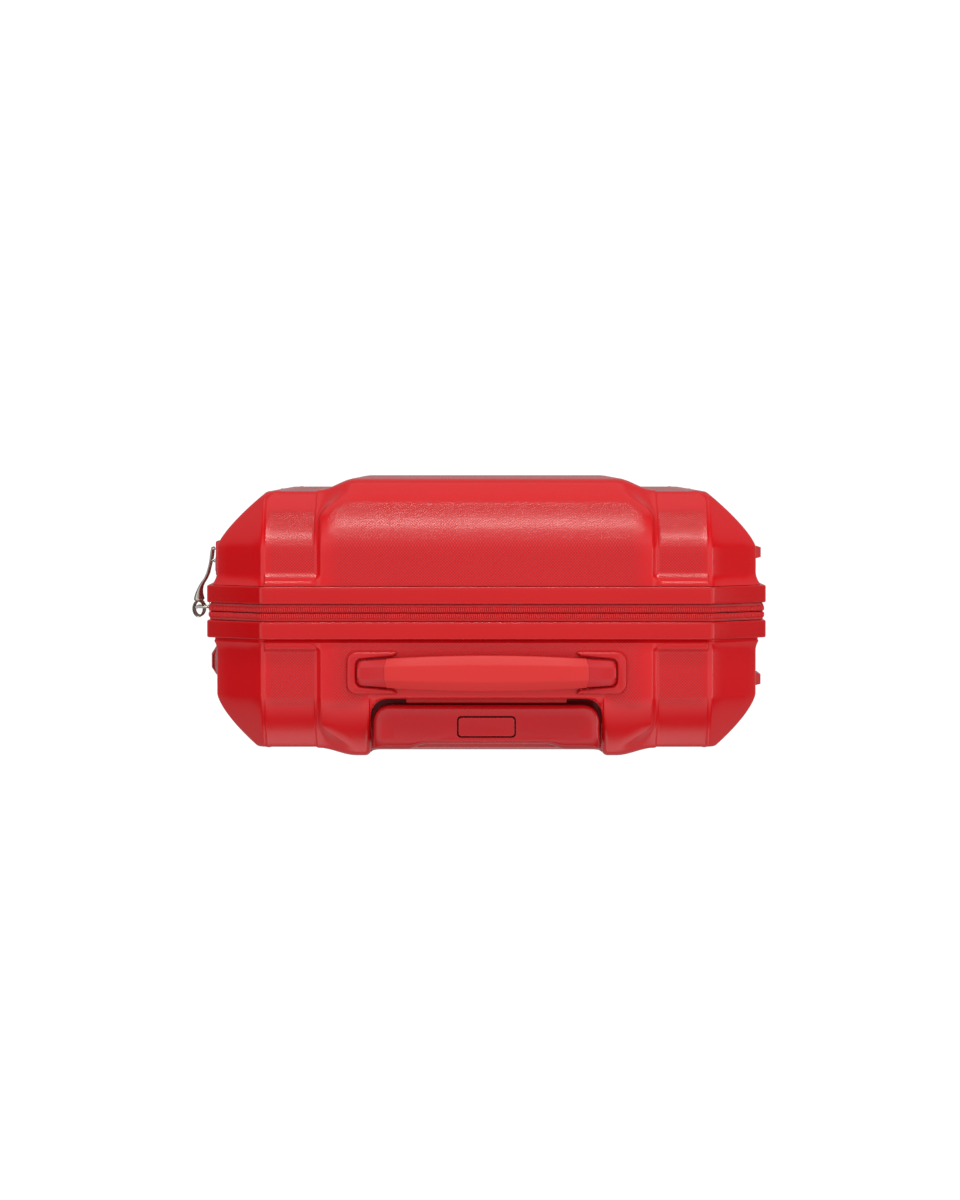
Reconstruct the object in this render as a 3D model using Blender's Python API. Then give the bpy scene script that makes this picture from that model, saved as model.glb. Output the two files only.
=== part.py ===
"""Hard shell cabin suitcase on four twin-wheel casters, as separate named pieces.

Metres, +Z up. The case stands on its wheels on z = 0, the front shell faces -Y and the
zipper runs round the case in the plane y = 0. Pieces are modelled in the case's own frame,
whose X = 0 is the middle of the case, and hang from one empty that sets the case a little
to -X and -Y, so that the part's origin is the middle of its bounding box with the zip pulls.
"""
from math import atan, cos, pi, radians, sin

import bmesh
import bpy
from mathutils import Matrix, Vector

# ---- driving dimensions -------------------------------------------------------------
CASE_X, CASE_Y = -0.004, -0.004  # case centre and zipper plane in the part's frame
GAP = 0.0003               # clearance between pieces that touch
CENTRE_Z = 0.296           # middle of the case body
RIM_HALF_W = 0.1965        # outer half width of the rims
RIM_HALF_H = 0.244
RIM_LEG = 0.0395           # 45 degree corner of the rims
SHELL_STEP = 0.007         # rims stand this proud of the shells
SHELL_HALF_W = RIM_HALF_W - SHELL_STEP
SHELL_HALF_H = RIM_HALF_H - SHELL_STEP
SHELL_LEG = 0.031
LEG_LOSS = 0.735           # how fast the shell's 45 degree corner shrinks with its inset
MITRE = 1 / cos(radians(22.5))
WALL = 0.0028              # shell wall
SHELL_EDGE = 0.0187        # shells start this far from the zipper plane
FACE_INSET = 0.002         # last turn from the curve into the flat face
RIM_START, RIM_END, RIM_TONGUE = 0.0062, 0.0184, 0.0238

BAND_RISE = 0.0045         # raised centre band on the top and bottom walls
BAND_WIDENS = 0.45         # part of the curve after which the band's side slopes widen
CHANNEL_SINK = -0.0012     # groove beside the band
LIP_RISE = 0.0036          # the shell flares out to meet its rim

HANDLE_Y = 0.0415          # carry handles, middle of their width
STEM_X = 0.084
SIDE_BASE = SHELL_HALF_W   # surface that the side handle stands on
TOP_BASE = CENTRE_Z + SHELL_HALF_H + BAND_RISE

TUBE_X, TUBE_Y = 0.058, 0.0796
CUP_HALF_W, CUP_FRONT, CUP_REAR, CUP_FLOOR = 0.0803, 0.0595, 0.0955, 0.4977
GRIP_BOTTOM, GRIP_TOP = 0.510, 0.5365

CASTER_X, CASTER_Y = 0.145, 0.056
TRAIL = 0.015
WHEEL_R, WHEEL_W, FORK_W = 0.025, 0.0095, 0.006
PAD_BOTTOM = 0.0545

HINGE_X = -0.204           # opening axis, outside the side feet
LOCK_Z = 0.440
LOCK_FACE = 0.1935
LOCK_Y0, LOCK_Y1 = -0.049, -0.0245
DIAL_R, DIAL_Y = 0.0065, -0.0324
PIN_X, PIN_Y = 0.2066, -0.0012

FRONT = {"side": -1, "start": 0.045, "end": 0.0832, "drop": 0.034, "power": 1.35,
         "face": 0.0845, "band": 0.0090}
REAR = {"side": 1, "start": 0.058, "end": 0.0940, "drop": 0.0273, "power": 1.45,
        "face": 0.0955, "band": 0.0060}

FINISHES = {               # colour, roughness, metallic
    "shell": ((0.62, 0.035, 0.040), 0.34, 0.0),
    "trim": ((0.55, 0.028, 0.030), 0.28, 0.0),
    "grip": ((0.64, 0.040, 0.042), 0.50, 0.0),
    "tape": ((0.60, 0.035, 0.040), 0.80, 0.0),
    "fabric": ((0.10, 0.10, 0.11), 0.90, 0.0),
    "tube": ((0.75, 0.75, 0.77), 0.30, 1.0),
    "steel": ((0.55, 0.55, 0.56), 0.28, 1.0),
    "nickel": ((0.62, 0.58, 0.52), 0.25, 1.0),
    "tyre": ((0.05, 0.05, 0.055), 0.60, 0.0),
    "dial": ((0.12, 0.12, 0.13), 0.35, 0.0),
}


# ---- helpers ------------------------------------------------------------------------
def clear_scene():
    for old in list(bpy.data.objects):
        bpy.data.objects.remove(old)


def mix(a, b, t):
    return a + (b - a) * t


def smooth(t):
    t = min(1.0, max(0.0, t))
    return t * t * (3 - 2 * t)


def solid(name, verts, faces):
    """One closed mesh object with its faces pointing out."""
    mesh = bpy.data.meshes.new(name)
    mesh.from_pydata([tuple(v) for v in verts], [], faces)
    bm = bmesh.new()
    bm.from_mesh(mesh)
    bmesh.ops.recalc_face_normals(bm, faces=bm.faces)
    bm.to_mesh(mesh)
    bm.free()
    obj = bpy.data.objects.new(name, mesh)
    bpy.context.collection.objects.link(obj)
    return obj


def loft(name, loops, ring=False):
    """Joins loops of equal length; a ring closes on its first loop, else both ends are capped."""
    count = len(loops[0])
    verts = [point for loop in loops for point in loop]
    faces = []
    for a in range(len(loops) if ring else len(loops) - 1):
        b = (a + 1) % len(loops)
        for i in range(count):
            j = (i + 1) % count
            faces.append((a * count + i, a * count + j, b * count + j, b * count + i))
    if not ring:
        last = (len(loops) - 1) * count
        faces.append(tuple(range(count)))
        faces.append(tuple(last + i for i in range(count)))
    return solid(name, verts, faces)


def along(axis, a, b, h):
    """A point with h on the axis and (a, b) on the other two, in X, Y, Z order."""
    return {"X": (h, a, b), "Y": (a, h, b), "Z": (a, b, h)}[axis]


def prism(name, points, axis, low, high):
    return loft(name, [[along(axis, a, b, h) for a, b in points] for h in (low, high)])


def block(name, low, high, edge=0.0):
    """A box; edge chamfers the long corners along Z."""
    (x0, y0, z0), (x1, y1, z1) = low, high
    if edge:
        points = [(x0 + edge, y0), (x1 - edge, y0), (x1, y0 + edge), (x1, y1 - edge),
                  (x1 - edge, y1), (x0 + edge, y1), (x0, y1 - edge), (x0, y0 + edge)]
    else:
        points = [(x0, y0), (x1, y0), (x1, y1), (x0, y1)]
    return prism(name, points, "Z", z0, z1)


def circle(axis, a, b, radius, h, steps):
    return [along(axis, a + radius * cos(2 * pi * i / steps), b + radius * sin(2 * pi * i / steps), h)
            for i in range(steps)]


def turned(name, axis, centre, profile, steps, ring=False):
    """A turned solid from (radius, height) pairs round an axis through centre = (a, b)."""
    return loft(name, [circle(axis, *centre, r, h, steps) for r, h in profile], ring)


def arc(centre, radius, first, last, steps):
    return [(centre[0] + radius * cos(radians(mix(first, last, i / steps))),
             centre[1] + radius * sin(radians(mix(first, last, i / steps)))) for i in range(steps + 1)]


def combine(target, tool, operation):
    """Applies one exact Boolean and removes the tool."""
    cut = target.modifiers.new("cut", "BOOLEAN")
    cut.operation = operation
    cut.object = tool
    bpy.context.view_layer.update()
    seen = target.evaluated_get(bpy.context.evaluated_depsgraph_get())
    mesh = bpy.data.meshes.new_from_object(seen)
    target.modifiers.clear()
    target.data = mesh
    bpy.data.objects.remove(tool)
    return target


EMPTIES = {}


def empty(name, place, parent=None):
    """A pivot; place is in the case's frame."""
    pivot = bpy.data.objects.new(name, None)
    bpy.context.collection.objects.link(pivot)
    EMPTIES[name] = Vector(place)
    pivot.location = EMPTIES[name]
    if parent:
        pivot.parent = bpy.data.objects[parent]
        pivot.location = EMPTIES[name] - EMPTIES[parent]
    return name


def finish(obj, look, parent="case_frame", pivot=None):
    """Material, origin on its pivot point, and place under its parent empty."""
    colour, roughness, metallic = FINISHES[look]
    material = bpy.data.materials.new(obj.name + "_finish")
    material.use_nodes = True
    shader = material.node_tree.nodes["Principled BSDF"]
    shader.inputs["Base Color"].default_value = (*colour, 1.0)
    shader.inputs["Roughness"].default_value = roughness
    shader.inputs["Metallic"].default_value = metallic
    obj.data.materials.clear()
    obj.data.materials.append(material)
    obj.data.shade_smooth()
    obj.data.set_sharp_from_angle(angle=radians(35))
    origin = Vector(pivot) if pivot else EMPTIES[parent]
    obj.data.transform(Matrix.Translation(-origin))
    obj.parent = bpy.data.objects[parent]
    obj.location = origin - EMPTIES[parent]
    return obj


# ---- the case outline and the two shells --------------------------------------------
def corner_loop(half_w, half_h, leg, y, radius=0.006, steps=2, centre_z=CENTRE_Z):
    """The case outline at depth y: a rectangle with 45 degree corners and rounded creases."""
    cut = radius * 0.4142
    points = []
    for turn in range(4):
        flip_x = 1 if turn in (0, 3) else -1
        flip_z = 1 if turn in (0, 1) else -1
        quarter = []
        side = (half_w - radius, half_h - leg - cut)
        top = (half_w - leg - cut, half_h - radius)
        quarter += arc(side, radius, 0, 45, steps)
        quarter += arc(top, radius, 45, 90, steps)
        quarter = [(flip_x * x, flip_z * z) for x, z in quarter]
        points += quarter if turn in (0, 2) else quarter[::-1]
    return [(x, y, centre_z + z) for x, z in points]


def rim_loop(inset, y):
    return corner_loop(RIM_HALF_W - inset, RIM_HALF_H - inset, RIM_LEG - 0.586 * inset, y)


def ring_of(name, side, section):
    """Sweeps a closed (inset, depth) section round the case outline."""
    return loft(name, [rim_loop(inset, side * depth) for inset, depth in section], ring=True)


def wall_rings(spec):
    """(depth, inset, slope angle, share of the curve, lip) of each ring from rim to face."""
    rings = [(SHELL_EDGE, 0.0, 0.0, 0.0, LIP_RISE), (0.0215, 0.0, 0.0, 0.0, -0.001),
             (0.0250, 0.0, 0.0, 0.0, -0.001), (0.0270, 0.0, 0.0, 0.0, 0.0)]
    length = spec["end"] - spec["start"]
    for t in (0.0, 0.14, 0.36, 0.58, 0.80, 1.0):
        inset = spec["drop"] * t ** spec["power"]
        slope = spec["drop"] / length * spec["power"] * t ** (spec["power"] - 1) if t else 0.0
        share = smooth((t - BAND_WIDENS) / (1 - BAND_WIDENS))
        rings.append((spec["start"] + length * t, inset, atan(slope), share, 0.0))
    rings.append((spec["face"], spec["drop"] + FACE_INSET, radians(68), 1.0, 0.0))
    return rings


COLUMNS = range(-6, 7)
ROWS = range(-2, 3)


def column_x(i, share, half_w, leg):
    """Centre, mid, band top, band foot, panel edge, crease and corner columns."""
    places = [0.0, mix(0.060, 0.050, share), mix(0.1135, 0.0915, share), mix(0.117, 0.1175, share),
              mix(0.1206, 0.1215, share), half_w - leg, half_w]
    return places[abs(i)] * (1 if i > 0 else -1)


def row_z(j, half_h, leg):
    return (0.0, half_h - leg, half_h)[abs(j)] * (1 if j > 0 else -1)


def feature(i, share, spec, grooves):
    """Height of the raised band and its groove above the flank."""
    if abs(i) <= 2:
        return mix(BAND_RISE, spec["band"], share)
    return CHANNEL_SINK if abs(i) == 3 and grooves else 0.0


def edge_cells():
    """Border cells of the column and row grid, once round."""
    low = [(i, -2) for i in COLUMNS] + [(6, j) for j in (-1, 0, 1)]
    return low + [(i, 2) for i in reversed(COLUMNS)] + [(-6, j) for j in (1, 0, -1)]


def border_point(spec, cell, ring, offset, grooves):
    """A point of one wall ring, moved out by offset along the surface."""
    i, j = cell
    depth, inset, slope, share, lip = ring
    half_w, half_h = SHELL_HALF_W - inset, SHELL_HALF_H - inset
    leg = SHELL_LEG - LEG_LOSS * inset
    x, z = column_x(i, share, half_w, leg), row_z(j, half_h, leg)
    sign_x, sign_z = (1 if i > 0 else -1), (1 if j > 0 else -1)
    if abs(i) == 6 and abs(j) == 2:
        x, z, tilt, reach = sign_x * (half_w - leg / 2), sign_z * (half_h - leg / 2), 45, 1.0
    elif abs(j) == 2:
        tilt, reach = (67.5, MITRE) if abs(i) == 5 else (90, 1.0)
    else:
        tilt, reach = (22.5, MITRE) if abs(j) == 1 else (0, 1.0)
    rise = offset
    if abs(j) == 2:
        rise += feature(i, share, spec, grooves)
    if grooves and not (abs(j) == 2 and abs(i) <= 2):
        rise += lip
    out = cos(slope) * rise * reach
    return (x + sign_x * out * cos(radians(tilt)), spec["side"] * (depth + sin(slope) * rise),
            CENTRE_Z + z + sign_z * out * sin(radians(tilt)))


def face_point(spec, i, j, offset, grooves):
    inset = spec["drop"] + FACE_INSET
    leg = SHELL_LEG - LEG_LOSS * inset
    x = column_x(i, 1.0, SHELL_HALF_W - inset, leg)
    z = row_z(j, SHELL_HALF_H - inset, leg)
    return (x, spec["side"] * (spec["face"] + feature(i, 1.0, spec, grooves) + offset), CENTRE_Z + z)


def shell_layer(spec, offset, grooves, start):
    """Vertices and quads of one skin; start numbers its first vertex."""
    rings, cells = wall_rings(spec), edge_cells()
    verts = [border_point(spec, cell, ring, offset, grooves) for ring in rings for cell in cells]
    count, faces = len(cells), []
    for a in range(len(rings) - 1):
        for k in range(count):
            n = (k + 1) % count
            faces.append((start + a * count + k, start + a * count + n,
                          start + (a + 1) * count + n, start + (a + 1) * count + k))
    index = {cell: start + (len(rings) - 1) * count + k for k, cell in enumerate(cells)}
    for j in (-1, 0, 1):
        for i in range(-5, 6):
            index[(i, j)] = start + len(verts)
            verts.append(face_point(spec, i, j, offset, grooves))
    for j in range(-2, 2):
        for i in range(-6, 6):
            faces.append((index[(i, j)], index[(i + 1, j)], index[(i + 1, j + 1)], index[(i, j + 1)]))
    return verts, faces, count


def shell(name, spec):
    """The moulded half shell: outer skin, inner skin and the edge that meets the rim."""
    outer, faces, count = shell_layer(spec, 0.0, True, 0)
    inner, more, _ = shell_layer(spec, -WALL, False, len(outer))
    for k in range(count):
        n = (k + 1) % count
        faces.append((k, n, len(outer) + n, len(outer) + k))
    return solid(name, outer + inner, faces + more)


def case_body(spec, offset):
    """The shell's outer form as a full solid, grown by offset, for trimming what lies on it."""
    verts, faces, count = shell_layer(spec, offset, True, 0)
    return solid("trim_form", verts, faces + [tuple(range(count))])


def caster_hole(side_x, side_y):
    return turned("hole", "Z", (side_x * CASTER_X, side_y * CASTER_Y), [(0.0124, 0.05), (0.0124, 0.08)], 24)


def make_front_shell():
    obj = shell("front_shell", FRONT)
    for side_x in (-1, 1):
        combine(obj, caster_hole(side_x, -1), "DIFFERENCE")
    opening = block("hole", (0.17, LOCK_Y0 - GAP, LOCK_Z - 0.045 - GAP),
                    (0.21, LOCK_Y1 + GAP, LOCK_Z + 0.045 + GAP))
    combine(obj, opening, "DIFFERENCE")
    finish(obj, "shell", "front_case_hinge")


def make_rear_shell():
    obj = shell("rear_shell", REAR)
    for side_x in (-1, 1):
        combine(obj, caster_hole(side_x, 1), "DIFFERENCE")
        x = side_x * STEM_X
        slot = block("slot", (x - 0.0047, HANDLE_Y - 0.0065, 0.52), (x + 0.0047, HANDLE_Y + 0.0065, 0.55))
        combine(obj, slot, "DIFFERENCE")
        z = CENTRE_Z + side_x * STEM_X
        slot = block("slot", (0.17, HANDLE_Y - 0.0065, z - 0.0047), (0.21, HANDLE_Y + 0.0065, z + 0.0047))
        combine(obj, slot, "DIFFERENCE")
    combine(obj, block("hole", (-0.0827, 0.0570, 0.4950), (0.0827, 0.12, 0.56)), "DIFFERENCE")
    finish(obj, "shell")


def make_rims():
    section = [(0.0008, RIM_START), (0.0, 0.0070), (0.0, 0.0176), (0.0008, RIM_END), (0.0105, RIM_END),
               (0.0105, RIM_TONGUE), (0.0130, RIM_TONGUE), (0.0130, RIM_START)]
    finish(ring_of("front_rim", -1, section), "trim", "front_case_hinge")
    finish(ring_of("rear_rim", 1, section), "trim")
    tape = [(0.0010, 0.00025), (0.0010, 0.0059), (0.0135, 0.0059), (0.0135, 0.00025)]
    finish(ring_of("front_zip_tape", -1, tape), "tape", "front_case_hinge")
    finish(ring_of("rear_zip_tape", 1, tape), "tape")


# ---- trolley handle -----------------------------------------------------------------
def rounded_tray(half_w, front, rear, radius):
    """Plan outline of the cup: square at the rear, rounded at the two front corners."""
    left = arc((-half_w + radius, front + radius), radius, 180, 270, 4)
    right = arc((half_w - radius, front + radius), radius, 270, 360, 4)
    return left + right + [(half_w, rear), (-half_w, rear)]


def make_handle_cup():
    wall = 0.002
    outline = rounded_tray(CUP_HALF_W + wall, CUP_FRONT - wall, 0.115, 0.0130)
    obj = prism("handle_cup", outline, "Z", 0.4955, 0.56)
    flange = prism("flange", rounded_tray(0.0850, 0.0570, 0.115, 0.0145), "Z", 0.4955, 0.56)
    combine(flange, case_body(REAR, GAP), "DIFFERENCE")
    keep = block("keep", (-0.12, 0.03, 0.512), (0.12, 0.0930, 0.57))
    combine(flange, keep, "INTERSECT")
    combine(obj, flange, "UNION")
    combine(obj, case_body(REAR, 0.0014), "INTERSECT")
    hollow = prism("hollow", rounded_tray(CUP_HALF_W, CUP_FRONT, 0.13, 0.0115), "Z", CUP_FLOOR, 0.58)
    combine(obj, hollow, "DIFFERENCE")
    combine(obj, block("rear_cut", (-CUP_HALF_W, CUP_REAR, 0.48), (CUP_HALF_W, 0.12, 0.51)), "DIFFERENCE")
    for side in (-1, 1):
        x = side * TUBE_X
        slot = block("slot", (x - 0.0099, TUBE_Y - 0.0064, 0.48), (x + 0.0099, TUBE_Y + 0.0064, 0.51))
        combine(obj, slot, "DIFFERENCE")
    finish(obj, "trim")


def tube(name, x, size, wall, z0, z1, parent):
    """A straight rectangular tube with chamfered corners."""
    def outline(shrink):
        a, b, edge = size[0] / 2 - shrink, size[1] / 2 - shrink, 0.0016 - shrink * 0.586
        return [(-a + edge, -b), (a - edge, -b), (a, -b + edge), (a, b - edge),
                (a - edge, b), (-a + edge, b), (-a, b - edge), (-a, -b + edge)]
    loops = [[(x + a, TUBE_Y + b, z) for a, b in outline(shrink)]
             for shrink, z in ((0, z0), (0, z1), (wall, z1), (wall, z0))]
    finish(loft(name, loops, ring=True), "tube", parent)


def make_trolley():
    for side, word in ((-1, "left"), (1, "right")):
        x = side * TUBE_X
        tube("outer_tube_" + word, x, (0.022, 0.015), 0.0012, 0.0923, 0.4952, "case_frame")
        tube("stage_1_tube_" + word, x, (0.0188, 0.0118), 0.0010, 0.0960, 0.4990, "trolley_stage_1")
        top = GRIP_BOTTOM - GAP
        tube("stage_2_tube_" + word, x, (0.0160, 0.0090), 0.0012, 0.1000, top, "trolley_stage_2")
    foot = block("tube_base", (-0.076, 0.0710, 0.050), (0.076, 0.12, 0.0920))
    finish(combine(foot, case_body(REAR, -WALL - GAP), "INTERSECT"), "trim")

    section = [(0.0643, GRIP_BOTTOM + 0.004), (0.0643, 0.5325), (0.0665, 0.5360), (0.0700, GRIP_TOP),
               (0.0850, GRIP_TOP - 0.0004), (0.0895, 0.5335), (0.0930, 0.5270), (0.0949, 0.5190),
               (0.0949, GRIP_BOTTOM + 0.003), (0.0920, GRIP_BOTTOM), (0.0670, GRIP_BOTTOM)]
    grip = prism("trolley_grip", section, "X", -0.0774, 0.0774)
    combine(grip, prism("plan", rounded_tray(0.0774, 0.0643, 0.12, 0.0110), "Z", 0.49, 0.56), "INTERSECT")
    combine(grip, block("pocket", (-0.0199, 0.0723, 0.5240), (0.0199, 0.0862, 0.56), 0.002), "DIFFERENCE")
    finish(grip, "grip", "trolley_stage_2")
    finish(block("grip_button", (-0.0195, 0.0727, 0.5275), (0.0195, 0.0858, 0.5372), 0.002), "trim",
           "trolley_button")


# ---- carry handles ------------------------------------------------------------------
def stand_on_top(along_case, across, height):
    return (along_case, across, TOP_BASE + height)


def stand_on_side(along_case, across, height):
    return (SIDE_BASE + height, across, CENTRE_Z - along_case)


def handle_bar(name, stand):
    """A flexible bar with three facets on top, a stem at each end and a stop foot inside."""
    stations = [(-0.0900, 0.0085, 0.0020, 0.0070), (-0.0840, 0.0100, 0.0015, 0.0090),
                (-0.0700, 0.0110, 0.0048, 0.0120), (-0.0600, 0.0123, 0.0050, 0.0130),
                (0.0600, 0.0123, 0.0050, 0.0130), (0.0700, 0.0110, 0.0048, 0.0120),
                (0.0840, 0.0100, 0.0015, 0.0090), (0.0900, 0.0085, 0.0020, 0.0070)]
    loops = []
    for x, half, low, high in stations:
        section = [(-half, low + 0.0015), (-half + 0.002, low), (half - 0.002, low), (half, low + 0.0015),
                   (half, high - 0.0030), (half * 0.45, high), (-half * 0.45, high), (-half, high - 0.0030)]
        loops.append([stand(x, HANDLE_Y + y, z) for y, z in section])
    bar = loft(name, loops)
    for side in (-1, 1):
        for half_x, half_y, low, high in ((0.004, 0.006, -0.0155, 0.004), (0.006, 0.0085, -0.0155, -0.0132)):
            plan = [(-half_x, -half_y), (half_x, -half_y), (half_x, half_y), (-half_x, half_y)]
            stem = loft("stem", [[stand(side * STEM_X + a, HANDLE_Y + b, h) for a, b in plan]
                                 for h in (low, high)])
            combine(bar, stem, "UNION")
    return bar


def bezel(name, side, stand):
    """U-shaped frame round one end of a carry handle, open towards the handle's middle."""
    outer_x, inner_x, arm_end = 0.0975, 0.0910, 0.0610
    near, far, arm = HANDLE_Y - 0.0152, HANDLE_Y + 0.0150, 0.0034
    radius = 0.0055
    outline = [(arm_end, near), (outer_x - radius, near), (outer_x, near + radius), (outer_x, far - radius),
               (outer_x - radius, far), (arm_end, far), (arm_end + 0.003, far - arm),
               (inner_x - 0.002, far - arm), (inner_x, far - arm - 0.002), (inner_x, near + arm + 0.002),
               (inner_x - 0.002, near + arm), (arm_end + 0.003, near + arm)]
    loops = [[stand(side * x, y, h) for x, y in outline] for h in (GAP, 0.0038)]
    return finish(loft(name, loops), "trim")


def make_carry_handles():
    finish(handle_bar("top_handle", stand_on_top), "grip", "top_handle_lift")
    finish(handle_bar("side_handle", stand_on_side), "grip", "side_handle_lift")
    bezel("top_bezel_left", -1, stand_on_top)
    bezel("top_bezel_right", 1, stand_on_top)
    bezel("side_bezel_upper", -1, stand_on_side)
    bezel("side_bezel_lower", 1, stand_on_side)


# ---- lock and zip pulls -------------------------------------------------------------
def make_lock():
    z0, z1 = LOCK_Z - 0.045, LOCK_Z + 0.045
    body = block("lock_body", (0.1740, LOCK_Y0, z0), (LOCK_FACE, LOCK_Y1, z1))
    combine(body, block("groove", (0.1890, -0.0465, z0 - 0.01), (0.21, -0.0402, z1 + 0.01)), "DIFFERENCE")
    centre = (LOCK_FACE + 0.0012 - DIAL_R, DIAL_Y)
    dial_places = [LOCK_Z - 0.036 + 0.009 * n for n in range(3)]
    for z in dial_places:
        combine(body, block("slot", (centre[0] - DIAL_R - 0.0005, DIAL_Y - DIAL_R - 0.0004, z - 0.0034),
                            (0.21, DIAL_Y + DIAL_R + 0.0004, z + 0.0034)), "DIFFERENCE")
    pin = turned("pin", "Z", centre, [(0.0017, z0 + 0.002), (0.0017, dial_places[-1] + 0.006)], 12)
    combine(body, pin, "UNION")
    button_z = LOCK_Z + 0.030
    combine(body, block("pocket", (0.1855, DIAL_Y - 0.0054, button_z - 0.0074),
                        (0.21, DIAL_Y + 0.0054, button_z + 0.0074)), "DIFFERENCE")
    finish(body, "trim", "front_case_hinge")
    for n, z in enumerate(dial_places):
        profile = [(0.0021, z - 0.0030), (0.0058, z - 0.0030), (DIAL_R, z - 0.0022), (DIAL_R, z + 0.0022),
                   (0.0058, z + 0.0030), (0.0021, z + 0.0030)]
        finish(turned("lock_dial_%d" % (n + 1), "Z", centre, profile, 20, ring=True), "dial",
               "front_case_hinge", (*centre, z))
    finish(block("lock_button", (0.1880, DIAL_Y - 0.0050, button_z - 0.0070),
                 (LOCK_FACE + 0.0010, DIAL_Y + 0.0050, button_z + 0.0070)), "nickel", "lock_release")


def oval(centre, half_x, half_y, steps):
    return [(centre[0] + half_x * cos(2 * pi * i / steps), centre[1] + half_y * sin(2 * pi * i / steps))
            for i in range(steps)]


def make_zip_slider(word, z):
    """A runner on the zipper and the pull that hangs on its pin."""
    slider = block("zip_slider_" + word, (0.1959, -0.0052, z - 0.0080), (0.1975, 0.0052, z + 0.0080))
    for side in (-1, 1):
        post = block("post", (0.1970, PIN_Y - 0.0016, z + side * 0.0062 - 0.0010),
                     (PIN_X + 0.0010, PIN_Y + 0.0016, z + side * 0.0062 + 0.0010))
        combine(slider, post, "UNION")
    pin = turned("pin", "Z", (PIN_X, PIN_Y), [(0.0011, z - 0.0066), (0.0011, z + 0.0066)], 10)
    combine(slider, pin, "UNION")
    finish(slider, "nickel", "zip_slider_%s_slide" % word)

    half = 0.0025
    centre, steps = (0.20765, 0.00105), 20
    loops = [[(x, y, z + h) for x, y in oval(centre, a, b, steps)]
             for a, b, h in ((0.00465, 0.00645, -half), (0.00465, 0.00645, half),
                             (0.00315, 0.00495, half), (0.00315, 0.00495, -half))]
    pull = loft("zip_pull_" + word, loops, ring=True)
    route = [(0.2068, -0.0048, 0.0012), (0.2050, -0.0120, 0.0012), (0.2018, -0.0220, 0.0010),
             (0.1988, -0.0330, 0.0010), (0.1964, -0.0405, 0.0012), (0.1906, -0.0434, 0.0014)]
    left, right = [], []
    for n, (x, y, width) in enumerate(route):
        ahead, back = Vector(route[min(n + 1, len(route) - 1)][:2]), Vector(route[max(n - 1, 0)][:2])
        run = (ahead - back).normalized()
        left.append((x - run.y * width, y + run.x * width))
        right.append((x + run.y * width, y - run.x * width))
    combine(pull, prism("lever", left + right[::-1], "Z", z - half, z + half), "UNION")
    finish(pull, "nickel", "zip_pull_%s_pivot" % word)


# ---- feet, lining, divider and straps -----------------------------------------------
def make_foot(name, y, z0, z1, parent):
    base, tip = -SHELL_HALF_W - GAP, -0.2000
    loops = [[(x, y - a, z0 + b), (x, y + a, z0 + b), (x, y + a, z1 - b), (x, y - a, z1 - b)]
             for x, a, b in ((base, 0.0060, 0.0), (tip, 0.0036, 0.003))]
    finish(loft(name, loops), "trim", parent)


def make_lining():
    centre_z, half_h, thick = 0.29725, 0.22175, 0.0016
    floor = 0.0705

    def tray(inset, near, far):
        return [corner_loop(0.172 - inset, half_h - inset, 0.018, y, 0.004, 2, centre_z) for y in (near, far)]
    outer = loft("rear_lining", tray(0.0, 0.009, floor))
    combine(outer, block("cup_room", (-0.0840, 0.0562, 0.4943), (0.0840, 0.09, 0.56)), "DIFFERENCE")
    lip = loft("lip", [rim_loop(0.0134, y) for y in (0.009, 0.0106)])
    combine(outer, lip, "UNION")
    inner = loft("inner", tray(thick, 0.0, floor - thick))
    combine(inner, block("cup_room", (-0.0856, 0.0546, 0.4927), (0.0856, 0.09, 0.56)), "DIFFERENCE")
    combine(outer, inner, "DIFFERENCE")
    finish(outer, "fabric")
    panel = loft("divider_panel", [rim_loop(0.0134, y) for y in (-0.0126, -0.0106)])
    finish(panel, "fabric", "front_case_hinge")


def make_straps():
    y1 = 0.0686
    for side, word in ((-1, "left"), (1, "right")):
        low, high = sorted((side * 0.1698, side * 0.0243))
        finish(block("strap_" + word, (low, y1 - 0.0016, CENTRE_Z - 0.0125), (high, y1, CENTRE_Z + 0.0125)),
               "fabric")
    finish(block("strap_buckle", (-0.0240, y1 - 0.0070, CENTRE_Z - 0.0170),
                 (0.0240, y1, CENTRE_Z + 0.0170), 0.003), "trim")


# ---- casters ------------------------------------------------------------------------
def make_caster_guard(name, spec, side_x, parent):
    """Corner guard that hugs the shell, with the pad and socket of the swivel."""
    side_y = spec["side"]
    x, y = side_x * CASTER_X, side_y * CASTER_Y
    outline = [(0.1235, 0.03), (0.1235, 0.066), (0.1500, 0.112), (0.22, 0.112), (0.22, 0.03)]
    corner = [(side_x * a, b) for a, b in outline]
    guard = prism(name, corner, "Y", *sorted((side_y * 0.0280, side_y * (spec["face"] - 0.0015))))
    combine(guard, case_body(spec, 0.0042), "INTERSECT")
    pad = turned("pad", "Z", (x, y), [(0.0235, PAD_BOTTOM), (0.0235, 0.095)], 32)
    combine(guard, pad, "UNION")
    combine(guard, case_body(spec, GAP), "DIFFERENCE")
    combine(guard, turned("boss", "Z", (x, y), [(0.0120, PAD_BOTTOM), (0.0120, 0.074)], 24), "UNION")
    combine(guard, turned("socket", "Z", (x, y), [(0.0043, 0.05), (0.0043, 0.0715)], 16), "DIFFERENCE")
    finish(guard, "trim", parent)


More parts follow.
